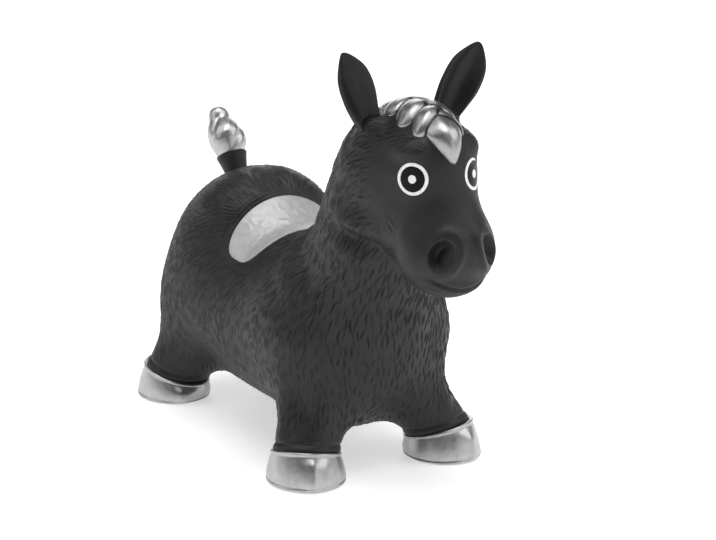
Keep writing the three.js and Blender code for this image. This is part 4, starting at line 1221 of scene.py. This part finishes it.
for side_name in SIDES:
    for part, (material, slot, profile) in EYE_PARTS.items():
        rings = eye_rings(side_name, profile[::-1])
        caps = {"cap_start": False, "cap_end": part == "dot"}
        piece = loft_piece(f"eye_{part}_{side_name}_painted", rings, material, slot, **caps)
        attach(piece, "head")
        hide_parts(f"eye_{part}_{side_name}")

# Saddle: a pale patch with oval bumps, over the dip of the back

SADDLE_SIDES, SADDLE_RINGS, SADDLE_ROUNDS = 320, 70, 6
SADDLE_EDGES = [(1.0, -0.8), (1.0, 0.15), (0.992, 0.6), (0.98, 0.85)]  # share of its size, and height
SADDLE_FLAT, SADDLE_HEIGHT, SADDLE_START = (0.965, 0.02), 1.0, 105
BUMP_ROWS, BUMP_COLUMNS, BUMP_ROW_SHIFTS = (-0.56, -0.12, 0.32), np.linspace(-0.66, 0.66, 7), (0, 0.11, 0)
BUMP_HEIGHT, BUMP_AT, BUMP_RIM = 0.27, 0.85, 0.3
BUMP_LONG, BUMP_WIDE, SADDLE_ARC = 7.6, 7.0, 88  # millimetres, the last from its middle to an end
BUMP_STRAY, BUMP_STRAY_STEPS = (0.08, 0.05), (7.3, 5.1)
BUMP_UNEVEN, BUMP_UNEVEN_STEP = 0.6, 3
SADDLE_BUMPS = [(u, w, shift) for u, shift in zip(BUMP_ROWS, BUMP_ROW_SHIFTS) for w in BUMP_COLUMNS]
BUMPS_FADE = 0.97, 0.9


def saddle_bumps(u, w):
    rise = np.zeros(len(u))
    for i, (bump_u, bump_w, row_shift) in enumerate(SADDLE_BUMPS):
        stray_u = BUMP_STRAY[0] * math.sin(BUMP_STRAY_STEPS[0] * i)
        stray_w = BUMP_STRAY[1] * math.cos(BUMP_STRAY_STEPS[1] * i) + row_shift
        along = (u - bump_u - stray_u) * SADDLE_HALF / BUMP_LONG
        across = (w - bump_w - stray_w) * SADDLE_ARC / BUMP_WIDE
        uneven = np.sin(BUMP_UNEVEN_STEP * i + np.arctan2(w - bump_w, u - bump_u))
        rise += BUMP_HEIGHT * bump(np.hypot(along, across), BUMP_AT, BUMP_RIM) * (1 + BUMP_UNEVEN * uneven)
    return rise


def saddle_ring(share, lift):
    angle = circle(SADDLE_SIDES)
    u, w = share * np.cos(angle), share * np.sin(angle)
    powers = np.abs(u) ** SADDLE_SQUARENESS + np.abs(w) ** SADDLE_SQUARENESS
    stretch = np.hypot(u, w) / np.maximum(powers, TINY) ** (1 / SADDLE_SQUARENESS)
    u, w = u * stretch, w * stretch
    lean = np.radians(SADDLE_REACH) * w
    way = np.stack([0 * u, np.sin(lean), np.cos(lean)], 1)
    p = np.stack([SADDLE_X + saddle_half(u, w) * u, 0 * u, 0 * u + BARREL_Z], 1) + way * SADDLE_START
    for _ in range(SADDLE_ROUNDS):
        rise = (slope_of(skin, p) * way).sum(1)
        p = p - way * (skin(p) / rise)[:, None]
    lift = lift + saddle_bumps(u, w) * smooth(share, *BUMPS_FADE)
    return p + unit(slope_of(skin, p)) * lift[:, None]


rings = [saddle_ring(share, lift) for share, lift in SADDLE_EDGES]
rings += [saddle_ring(share, SADDLE_HEIGHT) for share in np.linspace(*SADDLE_FLAT, SADDLE_RINGS)]
saddle = loft_piece("saddle_patch", rings, PALE, "pale_silver", cap_start=False)
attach(saddle, "trunk")
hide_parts("saddle_film")

# Air valve in the belly

VALVE_SIDES = 64
BUSH_PROFILE = [
    # radius, height
    (4.5, 18), (4.5, 1), (5.2, 0.2), (6, 0), (10, 0), (10.7, 0.3), (11, 1), (11, 7), (16.4, 7),
    (17, 7.5), (17, 9.4), (16.4, 10), (8, 10), (8, 17.4), (7.4, 18), (4.5, 18),
]
valve_low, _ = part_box("valve_bush")
valve = node_centre("valve_bush")
valve[2] = valve_low[2] / MM
round_valve = np.stack([np.cos(circle(VALVE_SIDES)), np.sin(circle(VALVE_SIDES)), np.zeros(VALVE_SIDES)], 1)
rings = [valve + radius * round_valve + vec(0, 0, along) for radius, along in BUSH_PROFILE]
bush = loft_piece("valve_bush_moulded", rings, GREY, "grey_vinyl", cap_start=False, cap_end=False)
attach(bush, "trunk")
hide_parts("valve_bush")
stopper = frame["nodes"]["valve_stopper"]
stopper.data.materials.clear()
stopper.data.materials.append(VINYL)

# Floor and wall, in metres: the floor is lit from below too, like a light table, and the pale wall
# stands far round it

FLOOR_SIZE, FLOOR_Z, FLOOR_GLOW = 80, -0.0005, 0.48
WALL_RADIUS, WALL_HEIGHT, WALL_GLOW, WALL_SIDES = 39.5, 6.0, 1.0, 96


def add_stage(name, material):
    """Makes the object that was added last a plain part of the stage."""
    piece = bpy.context.object
    piece.name = name
    piece.data.materials.append(material)
    piece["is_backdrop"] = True
    return piece


glow = {"Emission_Color": (1, 1, 1, 1), "Emission_Strength": FLOOR_GLOW}
floor_material = plain_material("floor", (0.9, 0.9, 0.9), 0.6, spread=0.02, **glow)
bpy.ops.mesh.primitive_plane_add(size=FLOOR_SIZE, location=(0, 0, FLOOR_Z))
add_stage("floor", floor_material)
glow["Emission_Strength"] = WALL_GLOW
wall_material = new_material("wall", (0, 0, 0), 0.9, Specular_IOR_Level=0, **glow)
bpy.ops.mesh.primitive_cylinder_add(
    vertices=WALL_SIDES,
    radius=WALL_RADIUS,
    depth=WALL_HEIGHT,
    end_fill_type="NOTHING",
    location=(0, 0, WALL_HEIGHT / 2),
)
wall = add_stage("wall", wall_material)
wall.visible_shadow = False

# Light: a faint world and soft lamps round the camera's view

VIEW_AZIMUTH, VIEW_ELEVATION = 61.2, 15.3
WORLD_LIGHT = 0.08
LIGHT_SPREAD = math.radians(45)
SOFT_LIGHTS = [
    # degrees round from the camera, degrees up, strength
    (0, 88, 1.8), (90, 42, 0.9), (270, 42, 0.6), (180, 10, 1.2), (45, 10, 0.4),
]


def direction(around, above):
    """The way to a place seen at these degrees round from -Y and above the floor."""
    turn, lift = math.radians(around), math.radians(above)
    return vec(math.sin(turn) * math.cos(lift), -math.cos(turn) * math.cos(lift), math.sin(lift))


world = bpy.data.worlds.new("studio")
bpy.context.scene.world = world
world.use_nodes = True
set_inputs(world.node_tree.nodes["Background"], Color=(1, 1, 1, 1), Strength=WORLD_LIGHT)
for i, (around, above, strength) in enumerate(SOFT_LIGHTS):
    lamp = bpy.data.lights.new(f"soft_{i}", "SUN")
    lamp.energy, lamp.angle = strength, LIGHT_SPREAD
    light = add_object(f"soft_{i}", lamp)
    towards = Vector(direction(VIEW_AZIMUTH + around, above))
    light.rotation_euler = towards.to_track_quat("Z", "Y").to_euler()

# Camera: sizes in pixels of the photograph, and turned so that the target lies at its pixel

VIEW_DISTANCE, VIEW_FOCUS, VIEW_TARGET = 2700.0, 2383.0, vec(60, 0, 230)
TARGET_PIXEL, IMAGE_CENTRE, IMAGE_WIDTH, SENSOR_WIDTH = (327, 244), (358, 270), 716, 36
BACK = direction(VIEW_AZIMUTH, VIEW_ELEVATION)
RIGHT = direction(VIEW_AZIMUTH + 90, 0)
UP = np.cross(BACK, RIGHT)
camera_data = bpy.data.cameras.new("camera")
camera_data.lens = VIEW_FOCUS / IMAGE_WIDTH * SENSOR_WIDTH
camera_data.sensor_width = SENSOR_WIDTH
camera = add_object("camera", camera_data)
camera.location = row(VIEW_TARGET + VIEW_DISTANCE * BACK)
across, down = ((c - t) / VIEW_FOCUS for c, t in zip(IMAGE_CENTRE, TARGET_PIXEL))
aim = -BACK + RIGHT * across - UP * down
camera.rotation_euler = Vector(aim).to_track_quat("-Z", "Y").to_euler()
bpy.context.scene.camera = camera
bpy.context.scene.view_settings.view_transform = "Standard"

low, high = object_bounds()
